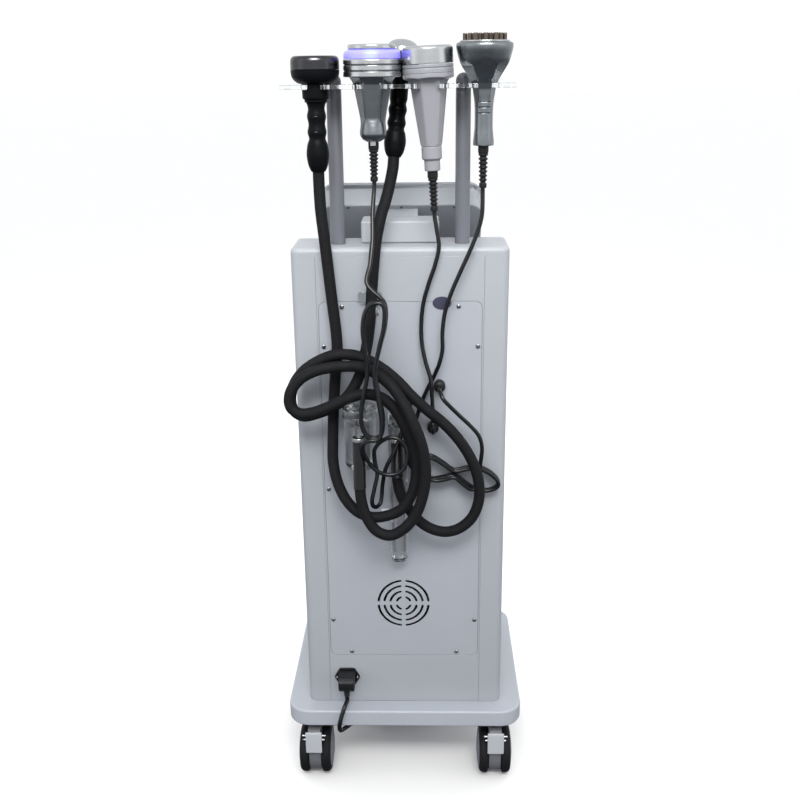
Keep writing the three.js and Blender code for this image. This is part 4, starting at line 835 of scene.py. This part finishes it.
for side, name in SIDES:
    piece(f"side_shell_{name}", "cabinet", [(side_wall(side), paint)], [f"side_panel_{name}"])
piece("top_shell", "cabinet", [(top_cover(), paint)], ["top_cover"])

SERVICE_LOW, SERVICE_HIGH, FRAME_TOP = 219.5, 797.5, 862.4
service_middle, service_height = (SERVICE_LOW + SERVICE_HIGH) / 2, SERVICE_HIGH - SERVICE_LOW
frame_outline = rounded(239.6, FRAME_TOP - FLOOR, 0.6, 0, (FRAME_TOP + FLOOR) / 2, 2)
inlet_hole = rounded(27, 20, 1, INLET_X, INLET_Z, 2)
opening = rounded(234.8, service_height + 0.8, 10.4, 0, service_middle)
ledge = rounded(210, service_height - 24, 10, 0, service_middle)
piece("rear_shell", "cabinet", [
    (slab([frame_outline, opening, inlet_hole], REAR_FACE, -132.7), paint, UPRIGHT),
    (slab([frame_outline, ledge, inlet_hole], -132.7, -131, 0.2), paint, UPRIGHT),
], ["rear_frame"])
front_outline = [(-119.7, FLOOR), (119.7, FLOOR), (119.7, 697), (-119.7, 697)]
piece("front_shell", "cabinet", [(slab([front_outline], 132.5, FRONT_FACE), paint, UPRIGHT)],
      ["front_panel"])


def grille():
    """Four rings of curved slots with round ends."""
    slots = []
    half, spoke, middle = 1.8, 2.75, 312.5
    for radius in (11.1, 20.7, 30.2, 39.3):
        trim = (spoke + half) / radius
        count = max(5, round(radius / 2))
        for quarter in range(4):
            a, b = TAU / 4 * quarter + trim, TAU / 4 * (quarter + 1) - trim
            slot = []
            for bow, start, end in ((radius + half, a, b), (radius - half, b, a)):
                turn = end if bow > radius else end + math.pi
                slot += arc(0, middle, bow, start, end, count)
                slot += arc(radius * math.cos(end), middle + radius * math.sin(end), half,
                            turn, turn + math.pi, 6)[1:-1]
            slots.append(slot)
    return slots


plug_holes = [circle(6, *place) for place in (PLUG_WHITE, PLUG_PIN, PLUG_CAVITATION)]
piece("service_cover", "cabinet", [
    (slab([rounded(234, service_height, 10, 0, service_middle), *grille(), *plug_holes],
          REAR_FACE, -133, 0.45), panel_paint, UPRIGHT),
    (slab([circle(1, steps=48)], 0, 0.25, 0.1), sticker,
     move(59.6, MOUNT_FACE, 795.4) @ TO_REAR @ Matrix.Diagonal((13.5, 9.5, 1, 1))),
    (slab([rounded(40, 19, 1.5)], 0, 0.2, 0.08), label_paper, move(-12, -135.25, 466) @ TO_REAR),
], ["service_panel"])


def screw_head(radius=3.3, height=2.0):
    """A pan head with a cross recess, drawn upward from its seat."""
    profile = [(0, 0), (radius, 0), (radius, height * 0.35)]
    for k in range(1, 7):
        angle = math.pi / 2 * k / 6
        profile.append((radius * (0.25 + 0.75 * math.cos(angle)), height * (0.35 + 0.65 * math.sin(angle))))
    profile += [(radius * 0.12, height), (0, height)]
    verts, faces, uvs = lathe(profile, 48)
    moved = []
    for x, y, z in verts:
        inside = math.hypot(x, y) < radius * 0.62 and (abs(x) < 0.45 or abs(y) < 0.45)
        moved.append((x, y, z - height * 0.45 if inside and z > height * 0.5 else z))
    return moved, faces, uvs


screw_rows = ((83.5, 790.5), (111.5, 731.5), (111.5, 508), (111.5, 283.5), (83.5, 226))
service_screws = [(side * x, z) for x, z in screw_rows for side, _ in SIDES]
piece("service_screws", "cabinet", [
    (screw_head(), screw_metal, move(x, REAR_FACE, z) @ TO_REAR @ Matrix.Rotation(0.4 + n * 1.1, 4, "Z"))
    for n, (x, z) in enumerate(service_screws)
])

# Mains inlet, connector and plug

half, flat, reach = 21, 12, 15.5
hexagon = [(half, 0), (flat, reach), (-flat, reach), (-half, 0), (-flat, -reach), (flat, -reach)]
piece("inlet_plate", "cabinet", [
    (slab([softened(hexagon, 3, True)], INLET_FACE, MOUNT_FACE, 0.7), black_plastic,
     move(INLET_X, 0, INLET_Z) @ UPRIGHT),
    (block((-105.2, -78.8), (-136.5, -111.3), (170.3, 189.7), 1), black_plastic),
    *[(screw_head(1.9, 0.9), screw_metal, move(x, INLET_FACE, INLET_Z) @ TO_REAR)
      for x in (-108.4, -75.6)],
], ["inlet_socket"])
connector_side = [(-138.6, 192.5), (-138.6, 167.2), (-149, 167.2), (-161, 167.2), (-166.4, 176),
                  (-166.4, 186), (-158, 192.5)]
connector_relief = [(3.9, 155.2), (4.2, 156), (4.4, 158), (3.9, 158.6), (3.9, 159.4), (4.7, 160), (4.8, 162),
                    (4.3, 162.6), (4.3, 163.4), (5.1, 164), (5.2, 167.5), (5.2, 172)]
piece("mains_connector_body", "cabinet", [
    (slab([softened(connector_side, 3, True)], -104.6, -79.4, 1.6), black_plastic, SIDEWAYS),
    (spun(connector_relief, 0.4), black_plastic, move(INLET_X, -155, 0)),
], ["mains_connector"])
plug_turn = move(*plug_start) @ Matrix.Rotation(math.atan2(plug_heading.y, plug_heading.x), 4, "Z")
plug_outline = [(14, -13), (20, -17), (50, -17), (50, 17), (20, 17), (14, 13)]
plug_relief = [(3.8, 0), (4.4, 1), (4.4, 4), (3.8, 4.6), (3.8, 5.4), (4.7, 6), (4.7, 9), (4.1, 9.6),
               (4.1, 10.4), (5, 11), (5, 16)]
piece("mains_plug_body", "cabinet", [
    (slab([softened(plug_outline, 4, True)], -10, 10, 3), black_plastic, plug_turn),
    (spun(plug_relief, 0.4), black_plastic, plug_turn @ ALONG_X),
    *[(spun([(2.4, 49), (2.4, 68), (1.6, 70.8)], 0.6, 32), steel, plug_turn @ move(0, y, 0) @ ALONG_X)
      for y in (-9.5, 9.5)],
], ["mains_plug"])

# Base board and casters

BOARD_WIDTH, BOARD_DEPTH, BOARD_CORNER, BOARD_LOW, BOARD_HIGH = 376, 328, 35, 105, 133
board_outline = rounded(BOARD_WIDTH, BOARD_DEPTH, BOARD_CORNER, steps=20)
piece("base_slab", "cabinet", [(slab([board_outline], BOARD_LOW, BOARD_HIGH, 3.2, 6), board_paint)],
      ["base_board"])

CASTER_X, AXLE_BACK, AXLE_HEIGHT = 147, -12, 40
tyre = [(22, 10.9), (36.5, 10.9), (38.6, 11.6), (40, 13.4), (40, 17.5), (39.6, 20.0), (38.6, 22.4),
        (36.8, 24.2), (34.6, 25.2), (32.2, 25.5), (31.4, 25.0), (22, 25)]
hub = [(4, 10.9), (31.2, 10.9), (31.2, 25.2), (30.6, 25.9), (29.0, 26.2), (24, 26.9), (14, 28.2), (9.5, 28.5),
       (9.0, 27.6), (7.6, 27.6), (7.2, 28.8), (0, 29)]
fork = [(11, 62), (11, 92), (9, 95), (-44, 95), (-47, 92), *arc(AXLE_BACK, AXLE_HEIGHT, 35, math.pi, TAU, 18),
        (23, 52)]
pedal = [(-55.9, 59.5), (-54.5, 58), (-52.9, 58.6), (-52.9, 84.5), (-47.7, 85.2), (-47.7, 90.8),
         (-52.9, 91.5), (-52.9, 96), (-54.2, 97), (-55.4, 95), (-55.9, 90)]


def pin(radius, low, high):
    """A plain round bar."""
    return lathe([(0, low), (radius, low), (radius, high), (0, high)], 32)


def caster(name, side, pivot, brake):
    place = move(side * CASTER_X, pivot, 0)
    axle = place @ move(0, AXLE_BACK, AXLE_HEIGHT)
    wheels = []
    for turn in (axle @ Matrix.Rotation(s * math.pi / 2, 4, "Y") for s, _ in SIDES):
        wheels.append((lathe(softened(tyre, 0.8) + [tyre[0]], 72), tyre_rubber, turn))
        wheels.append((lathe(softened(hub, 0.5), 72), hub_plastic, turn))
    wheels.append((pin(4, -12, 12), steel, axle @ ALONG_X))
    piece(f"wheel_pair_{name}", f"wheels_{name}", wheels, [f"caster_wheels_{name}"])
    frame_parts = [
        (slab([softened(fork, 1.5, True)], -10, 10, 1.2), fork_plastic, place @ SIDEWAYS),
        (spun([(13, 88), (13, 95), (11, 97), (11, 104.6)], 0.6, 48), fork_plastic, place),
        (pin(5.5, 95, 123), steel, place),
    ]
    if brake:
        for height, reach in ((88, 19), (80.5, 17)):
            frame_parts.append((spun([(1.7, -reach), (1.7, reach)], 0.4, 24), steel,
                                place @ move(0, -50, height) @ ALONG_X))
    piece(f"caster_frame_{name}", f"caster_{name}", frame_parts, [f"caster_fork_{name}"])
    if brake:
        plate = slab([softened(pedal, 0.5, True, 2)], -13, 13, 1.2)
        piece(f"pedal_{name}", f"brake_pedal_{name}", [(plate, pedal_plastic, place @ SIDEWAYS)],
              [f"brake_pedal_{name}"])


for end, pivot in (("rear", -116), ("front", 128)):
    for side, hand in SIDES:
        caster(f"{end}_{hand}", side, pivot, end == "rear")

# Columns, plate, neck and display

COLUMN_X, COLUMN_Y, COLUMN_RADIUS, COLUMN_FOOT, COLUMN_SHOULDER = 89, -98, 10.5, 857, 1097.1
column = [(COLUMN_RADIUS, COLUMN_FOOT), (COLUMN_RADIUS, 1000),
          *arc(0, COLUMN_SHOULDER, COLUMN_RADIUS, 0, TAU / 4, 8)]
for side, name in SIDES:
    piece(f"post_{name}", "cabinet", [
        (lathe([(0, COLUMN_FOOT), *column[:-1], (0, column[-1][1])], 72), column_paint,
         move(side * COLUMN_X, COLUMN_Y, 0)),
    ], [f"column_{name}"])

PLATE_X, PLATE_REAR, PLATE_FRONT, PLATE_CORNER, PLATE_THICKNESS = 157, -163, -52, 14, 6


def plate_outline():
    """The plate's edge, with a round seat and a slot for each handpiece."""
    corners = [(x, y) for x in (-PLATE_X, PLATE_X) for y in (PLATE_REAR, PLATE_FRONT)]
    line = [(PLATE_X, PLATE_REAR), (PLATE_X, PLATE_FRONT)]
    seats = [(*SMALL, 17.8, 10, 40)]
    seats += [(*place, r, m, 48) for place, r, m in
              ((VACUUM, 19.3, 9), (CAVITATION, 26.8, 11), (WHITE, 27, 11), (PIN, 19.8, 9))]
    for x, y, r, m, steps in seats:
        front = 1 if (x, y) == SMALL else -1
        edge = PLATE_FRONT if front > 0 else PLATE_REAR
        phi, middle = math.asin(m / r), front * math.pi / 2
        seat = arc(x, y, r, middle - phi, middle + phi - TAU, steps)
        line += [(x + front * m, edge), *seat, (x - front * m, edge)]
        if front > 0:
            line += [(-PLATE_X, PLATE_FRONT), (-PLATE_X, PLATE_REAR)]
    return softened(line, lambda point: PLATE_CORNER if point in corners else 2.0, True, 8, 0.35)


column_holes = [circle(10.65, side * COLUMN_X, COLUMN_Y, 48) for side, _ in SIDES]
piece("clear_plate", "cabinet", [
    (slab([plate_outline(), *column_holes], TOP - PLATE_THICKNESS, TOP, 0.6), acrylic),
], ["holder_plate"])

HINGE_Y, HINGE_Z = -22, 893
cheek = [(-50, 903), (HINGE_Y, 903), *arc(HINGE_Y, HINGE_Z, 10, TAU / 4, -TAU / 4, 12)[1:-1], (HINGE_Y, 883),
         (-50, 883)]
piece("neck", "cabinet", [
    (block((-56, 56), (-98, -42), (875.2, 906.3), 2.5, 4), paint),
    *[(slab([cheek], low, low + 8, 0.8), paint, SIDEWAYS) for low in (-33.6, 25.6)],
    (spun([(5, -33.4), (5, 33.4)], 0.6), steel, move(0, HINGE_Y, HINGE_Z) @ ALONG_X),
], ["neck_box"])

# The display is drawn with X across, Y up its face and Z out of its glass
display_turn = (move(0, HINGE_Y, HINGE_Z) @ Matrix.Rotation(math.radians(41), 4, "X")
                @ Matrix.Rotation(math.pi, 4, "Z") @ Matrix.Rotation(math.pi / 2, 4, "X"))
CASE_WIDTH, CASE_HEIGHT, CASE_CORNER, CASE_TOP = 244, 170, 22, 18.3
face_middle = CASE_TOP - CASE_HEIGHT / 2
case_outline = rounded(CASE_WIDTH, CASE_HEIGHT, CASE_CORNER, 0, face_middle, 12)
glass_hole = rounded(230.6, 156.6, 15.3, 0, face_middle, 12)
piece("display_case", "display", [
    (slab([case_outline, glass_hole], 50, 64.6, 1.6), paint, display_turn),
    (slab([case_outline], 18.6, 61.5, 2.2, 5), paint, display_turn),
    (block((-25, 25), (-10, 10), (3, 24), 0.8), paint, display_turn),
    (slab([circle(10), circle(5.3)], -25, 25), paint, display_turn @ SIDEWAYS),
    *[(screw_head(2.6, 1.2), screw_metal,
       display_turn @ move(x, 13.5, 18.6) @ Matrix.Rotation(math.pi, 4, "X")) for x in (-80, 0, 80)],
], ["display_housing"])
piece("display_pane", "display", [
    (slab([rounded(230, 156, 15, 0, face_middle, 12)], 61.9, 64.9, 0.6), screen_glass, display_turn),
], ["display_glass"])

# Handpieces, each drawn about its own axis with the plate's top face at zero


def smooth_least(a, b, soft):
    h = max(soft - abs(a - b), 0) / soft
    return min(a, b) - h * h * soft / 4


def read(table, z):
    if z <= table[0][0]:
        return table[0][1]
    for (z0, v0), (z1, v1) in zip(table, table[1:]):
        if z <= z1:
            return v0 + (v1 - v0) * (z - z0) / (z1 - z0)
    return table[-1][1]


def facets(first, table, soft):
    """A shape with six flat sides, at the distances from the axis that the table gives by height."""
    def shape(angle, radius, height):
        distance = read(table, height)
        for side in range(6):
            c = math.cos(angle - first - TAU / 6 * side)
            if c > 0.2:
                radius = smooth_least(radius, distance / c, soft)
        return radius
    return shape


def grip_line(bulb_end, bulb, grip):
    shares = [(0.63, 1, bulb), (0.87, 0.93, bulb), (1, 0.83, bulb), (1, 0.77, bulb), (0.9, 0.68, bulb),
              (0.90, 0.615, grip), (1.04, 0.54, grip), (0.90, 0.45, grip), (1.04, 0.36, grip),
              (0.90, 0.28, grip), (1, 0.22, grip)]
    return curve_through([(r * radius, -z * bulb_end) for r, z, radius in shares], 5)


def nub(place, z):
    """A small oval button on a grip."""
    line = [(0, -0.6), (2.2, -0.6), (1.76, 0.35), (0.99, 0.75), (0, 0.9)]
    turn = place @ move(0, -12.7, z) @ TO_REAR @ Matrix.Diagonal((1.5, 0.8, 1, 1))
    return (lathe(line, 24), black_gloss, turn)


def relief(top, length):
    """A moulded strain relief: a plain cuff, ribs that taper down and an end collar."""
    bottom, ribs = top - length, 7
    points = [(3.6, bottom), (5.0, bottom + 0.8), (5.2, bottom + 1.6), (5.2, bottom + 6), (4.2, bottom + 7)]
    ribbed = length - 17.5
    pitch = ribbed / ribs
    for rib in range(ribs):
        low = bottom + 7 + pitch * rib
        outer, core = 5.4 + 1.1 * rib / 6, 3.7 + 0.9 * rib / 6
        points += [(core, low + 0.25), (core, low + pitch * 0.4), (outer, low + pitch * 0.58),
                   (outer, low + pitch * 0.92)]
    points += [(6.2, bottom + 7.4 + ribbed), (7.1, bottom + 8.6 + ribbed), (7.2, top - 1), (6.8, top)]
    return spun(points, 0.45, 40, 2)


vacuum_turn = move(*VACUUM, TOP)
cup = [(13.4, -23.2), (15.2, -21.9), (15.5, -19.2), (16.6, -18.2), (17.9, -16.6), (18.3, -8), (18.4, 0.3),
       (20.5, 1.0), (24.2, 2.2), (28.6, 5.6), (31.0, 9.6), (32.2, 14), (32.5, 18.6)]
piece("vacuum_body", "vacuum_handpiece", [
    (lathe([(0, -113.5), *grip_line(113.5, 15.2, 12.4), *curve_through(cup, 4), (0, 18.7)], 80),
     grip_black, vacuum_turn),
    *[nub(vacuum_turn, z) for z in (-61, -41)],
], ["vacuum_grip"])
ring = [(32.0, 18.8), (32.5, 19.4), (32.5, 28), (32.2, 31), (31.2, 33.6), (29.6, 35.4), (27.2, 36.4),
        (24, 36.5), (21.2, 36.2), (20.3, 35.0), (20.0, 33), (20.0, 26), (18.6, 25.6)]
piece("vacuum_collar", "vacuum_handpiece", [(spun(ring, 0.5, 96), dark_metal, vacuum_turn)],
      ["vacuum_ring"])

cavitation_turn = move(*CAVITATION, TOP)
shell = [(7.4, -74.8), (10, -74), (14.6, -71), (17.6, -66), (17.9, -61), (16.9, -52), (17.0, -46),
         (18.7, -36), (22, -20), (25.4, -6), (26.0, 0.2), (28, 1.8), (32, 3.8), (35.4, 6.0), (37.3, 8.6)]
flats = [(-60, 30), (-52, 16.9), (-45, 15.3), (-20, 19.2), (0, 22.4), (4, 24), (8.6, 27)]
piece("cavitation_shell", "cavitation_handpiece", [
    (lathe([(0, -74.8), *curve_through(shell, 5), (0, 8.6)], 180, facets(REAR, flats, 1.0)),
     silver_paint, cavitation_turn),
    (block((-3.6, 3.6), (-9.2, -5.6), (-79.5, -73.5), 0.6), white_plastic,
     cavitation_turn @ move(0, -1.4, 0)),
], ["cavitation_body"])
head = [(37.6, 8.9), (38.5, 9.8), (38.5, 15.6), (37.2, 16.2), (37.2, 17.2), (38.5, 17.8), (38.5, 23.2),
        (37.2, 23.8), (37.2, 24.8), (38.5, 25.4), (38.5, 30.2), (37.6, 31.6), (20, 31.6), (20, 43.4),
        (31.0, 43.4), (32, 44.4), (32, 48.2), (31.2, 49.4), (29.8, 50)]
piece("cavitation_band", "cavitation_handpiece", [
    (spun(head, 0.45, 120), steel, cavitation_turn),
    # Two dark rings at the bottom of the grooves: painted shade
    *[(lathe([(35, z), (37.35, z), (37.35, z + 0.8), (35, z + 0.8)], 120), groove_shade_metal, cavitation_turn)
      for z in (16.3, 23.9)],
], ["cavitation_head"])
lamp = [(20.3, 31.9), (37.4, 31.9), (37.8, 32.6), (37.8, 37.5), (36.8, 40.2), (34.6, 42.2), (32.4, 43.0),
        (20.3, 43.0), (20.3, 31.9)]
piece("cavitation_lamp", "cavitation_handpiece", [(lathe(lamp, 120), lit_ring, cavitation_turn)],
      ["cavitation_light_ring"])
piece("cavitation_relief", "cavitation_handpiece", [(relief(-75.1, 52.7), black_plastic, cavitation_turn)],
      ["cavitation_strain_relief"])

small_cup = [(12.4, 0), (12.5, 6), (15.2, 9.2), (20.2, 13.5), (22.9, 18.6), (24.3, 24.5), (24.3, 35.4)]
piece("small_body", "small_handpiece", [
    (lathe([(0, -100), *grip_line(100, 15.0, 12.4), *curve_through(small_cup, 4), (23.7, 36), (0, 36)], 80),
     grip_black, small_place),
    *[nub(small_place, z) for z in (-54, -36)],
], ["small_grip"])
cap = [(0, 36.3), (23.7, 36.3), (24.3, 36.9), (24.3, 40), *arc(7.3, 40, 17, 0, TAU / 4, 10)[1:], (0, 57)]
piece("small_tip", "small_handpiece", [(lathe(cap, 96), chrome, small_place)], ["small_dome"])

white_line = [(10, -114.5), (10.8, -113.6), (10.8, -100.6), (11.8, -99.6), (13.1, -98.7), (13.8, -97.7),
              (13.8, -83), (13.3, -82.5), (13.3, -81.9), (13.9, -81.4), (15.0, -77.5), (25.8, -1.0),
              (26.0, 0.3), (28.4, 1.6), (31.4, 3.6), (33.4, 5.6), (34, 7.2), (34, 11.4), (33.4, 11.8),
              (33.4, 12.2), (34, 12.6), (34, 17.6), (33.2, 18.2), (33.2, 19.0), (34, 19.6), (34, 22.8),
              (33.4, 23.5)]
flats = [(-82, 30), (-77.5, 14.0), (0, 22.0), (4, 24.5), (9, 40)]
piece("white_shell", "white_handpiece", [
    (spun(white_line, 0.5, 180, 3, facets(REAR + math.radians(7), flats, 0.7)), white_plastic, white_place),
], ["white_body"])
collar = [(33.6, 23.9), (34, 24.4), (34, 41.4), (33.6, 43.6), (32.4, 45.4), (30.4, 46.5), (28.4, 46.8)]
piece("white_collar", "white_handpiece", [(spun(collar, 0.3, 120), steel, white_place)],
      ["white_head_ring"])
piece("white_relief", "white_handpiece", [(relief(-114.8, 54.8), black_plastic, white_place)],
      ["white_strain_relief"])

pin_turn = move(*PIN, TOP)
shell = [(13.4, -80.7), (14.0, -79.4), (13.9, -75), (12.9, -65), (12.2, -56), (12.2, -35.5), (13.2, -22),
         (14.8, -14), (16.8, -6), (19.0, 0.3), (21.6, 6), (24.9, 11.2), (28.4, 17), (31.2, 23), (33.8, 29.5),
         (35.9, 36.7), (37.3, 42.5), (37.8, 46.4)]
flats = [(-34, 13), (-22, 12.1), (-8, 13.4), (0.3, 15.6), (11, 20.6), (22, 26.8), (34, 38)]
pin_flats = facets(REAR, flats, 1.0)
GROOVES, GROOVE_HALF, GROOVE_DEPTH = (-24, -31.2, -38.4), 0.9, 0.7


def pin_shape(angle, radius, height):
    """The flats, with three short grooves across the rear one."""
    radius = pin_flats(angle, radius, height)
    facing = abs((angle - REAR + math.pi) % TAU - math.pi)
    for groove in GROOVES:
        if abs(height - groove) < GROOVE_HALF and facing < 0.75:
            radius -= GROOVE_DEPTH * (1 - abs(height - groove) / GROOVE_HALF)
    return radius


radii = [(z, r) for r, z in curve_through(shell, 5)]
heights = {round(z, 2) for z, _ in radii} | {g + d for g in GROOVES for d in (-1, -0.8, -0.4, 0, 0.4, 0.8, 1)}
pin_line = [(0, -80.7), *[(read(radii, z), z) for z in sorted(heights)], (37.6, 48.4), (36.6, 50.2),
            (34.8, 51), (0, 51)]
piece("pin_shell", "pin_handpiece", [(lathe(pin_line, 180, pin_shape), silver_paint, pin_turn)],
      ["pin_body"])
PIN_PITCH = 13
contact = lathe(softened([(0, 53), (3, 53), (3, 61.4), (2.6, 62.2), (1.8, 62.3), (1.6, 61.2), (0, 61.1)],
                         0.25, steps=2), 28)
contacts = [(spun([(33, 51.3), (33, 52.6), (32.4, 53.3)], 0.3, 72), steel, pin_turn)]
for row in range(-2, 3):
    count = 5 - abs(row)
    for i in range(count):
        x, y = (i - (count - 1) / 2) * PIN_PITCH, row * PIN_PITCH * math.sin(math.pi / 3)
        contacts.append((contact, gunmetal, pin_turn @ move(x, y, 0)))
piece("pin_contacts", "pin_handpiece", contacts, ["pin_electrode"])
piece("pin_relief", "pin_handpiece", [(relief(-81, 56.5), black_plastic, pin_turn)],
      ["pin_strain_relief"])

# Filters, hose ends, hook and panel plugs


def filter_parts(x, y, radius, bottom, shoulder, top, head, elbow):
    """A clear bowl with its lid, inner tube, wall block and the elbow that a hose goes on."""
    ex, ey, ez, end = elbow
    place, away = move(x, y, 0), -abs(ey - y) - 5.5
    bowl = [(radius - 7, bottom), (radius - 3, bottom + 1.5), (radius - 0.8, bottom + 6),
            (radius, bottom + 14), (radius, shoulder - 4), (radius + 0.4, shoulder - 0.6)]
    lid = [(head - 0.6, shoulder), (head, shoulder + 1), (head, shoulder + 5), (head - 0.7, shoulder + 5.6),
           (head - 0.7, shoulder + 6.6), (head, shoulder + 7.2), (head, top - 4), (head - 2, top - 1.4),
           (head - 6, top)]
    inner = [(radius * 0.42, bottom + 16), (radius * 0.42, shoulder - 12)]
    return [
        (spun(bowl, 1, 64), clear_plastic, place),
        (spun(lid, 0.5, 64), clear_plastic, place),
        (spun(inner, 1), white_plastic, place),
        (block((x - 11, x + 11), (y, MOUNT_FACE), (shoulder + 1, top - 5), 1), clear_plastic),
        (spun([(5.5, away), (5.5, 0)], 1.2), clear_plastic,
         move(ex, y, ez) @ Matrix.Rotation(-math.pi / 2, 4, "X")),
        (spun([(5.5, end), (5.5, ez + 5.5)], 1.2), clear_plastic, move(ex, ey, 0)),
    ]


piece("filter_cup_body", "cabinet", filter_parts(-60, -163, 23, 556, 634, 652, 25, (-59, -208, 642, 620)),
      ["filter_cup"])
piece("filter_bottle_body", "cabinet", filter_parts(-5, -151, 14, 397, 618, 640, 15, (-6, -177, 629, 607)),
      ["filter_bottle"])


def ferrule(x, y, top, length):
    """The shiny ribbed sleeve on a hose's end, with its bright ring."""
    points = [(8.2, top - length)]
    count = 22
    step = (length - 7) / count
    for k in range(count):
        low = top - length + 1 + step * k
        points += [(8.35, low), (8.9, low + step * 0.35), (8.9, low + step * 0.65), (8.35, low + step)]
    points += [(8.35, top - 5.6)]
    ring = [(8.1, top - 5.6), (9.4, top - 5.6), (9.7, top - 5), (9.7, top - 1.2), (9.3, top - 0.4),
            (8.1, top - 0.4)]
    return [(lathe(points, 48), black_gloss, move(x, y, 0)),
            (lathe(softened(ring, 0.4), 48), steel, move(x, y, 0))]


piece("hose_ferrules", "cabinet", [*ferrule(-59, -208, 619.4, 80), *ferrule(-6, -177, 606.4, 62)])
piece("hook", "cabinet", [
    (slab([rounded(34, 18, 4, -43, 803)], -137.7, MOUNT_FACE, 0.6), clear_plastic, UPRIGHT),
    (spun([(2.2, 136), (2.2, 233)], 0.6, 24), clear_plastic, move(-28, 0, 803) @ TO_REAR),
    (spun([(2.2, 801), (2.2, 812)], 1.0, 24), clear_plastic, move(-28, -232.8, 0)),
], ["cord_hook"])
piece("plug_white", "cabinet", [panel_plug(*PLUG_WHITE)], ["panel_plug_white"])
piece("plug_pin", "cabinet", [panel_plug(*PLUG_PIN)], ["panel_plug_pin"])

# Inner pieces keep their own shapes
for name, material in (("fan_housing", black_plastic), ("fan_rotor", black_plastic),
                       ("power_supply", casing_metal), ("vacuum_pump", casing_metal)):
    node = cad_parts[name]
    node.data.materials.clear()
    node.data.materials.append(material)
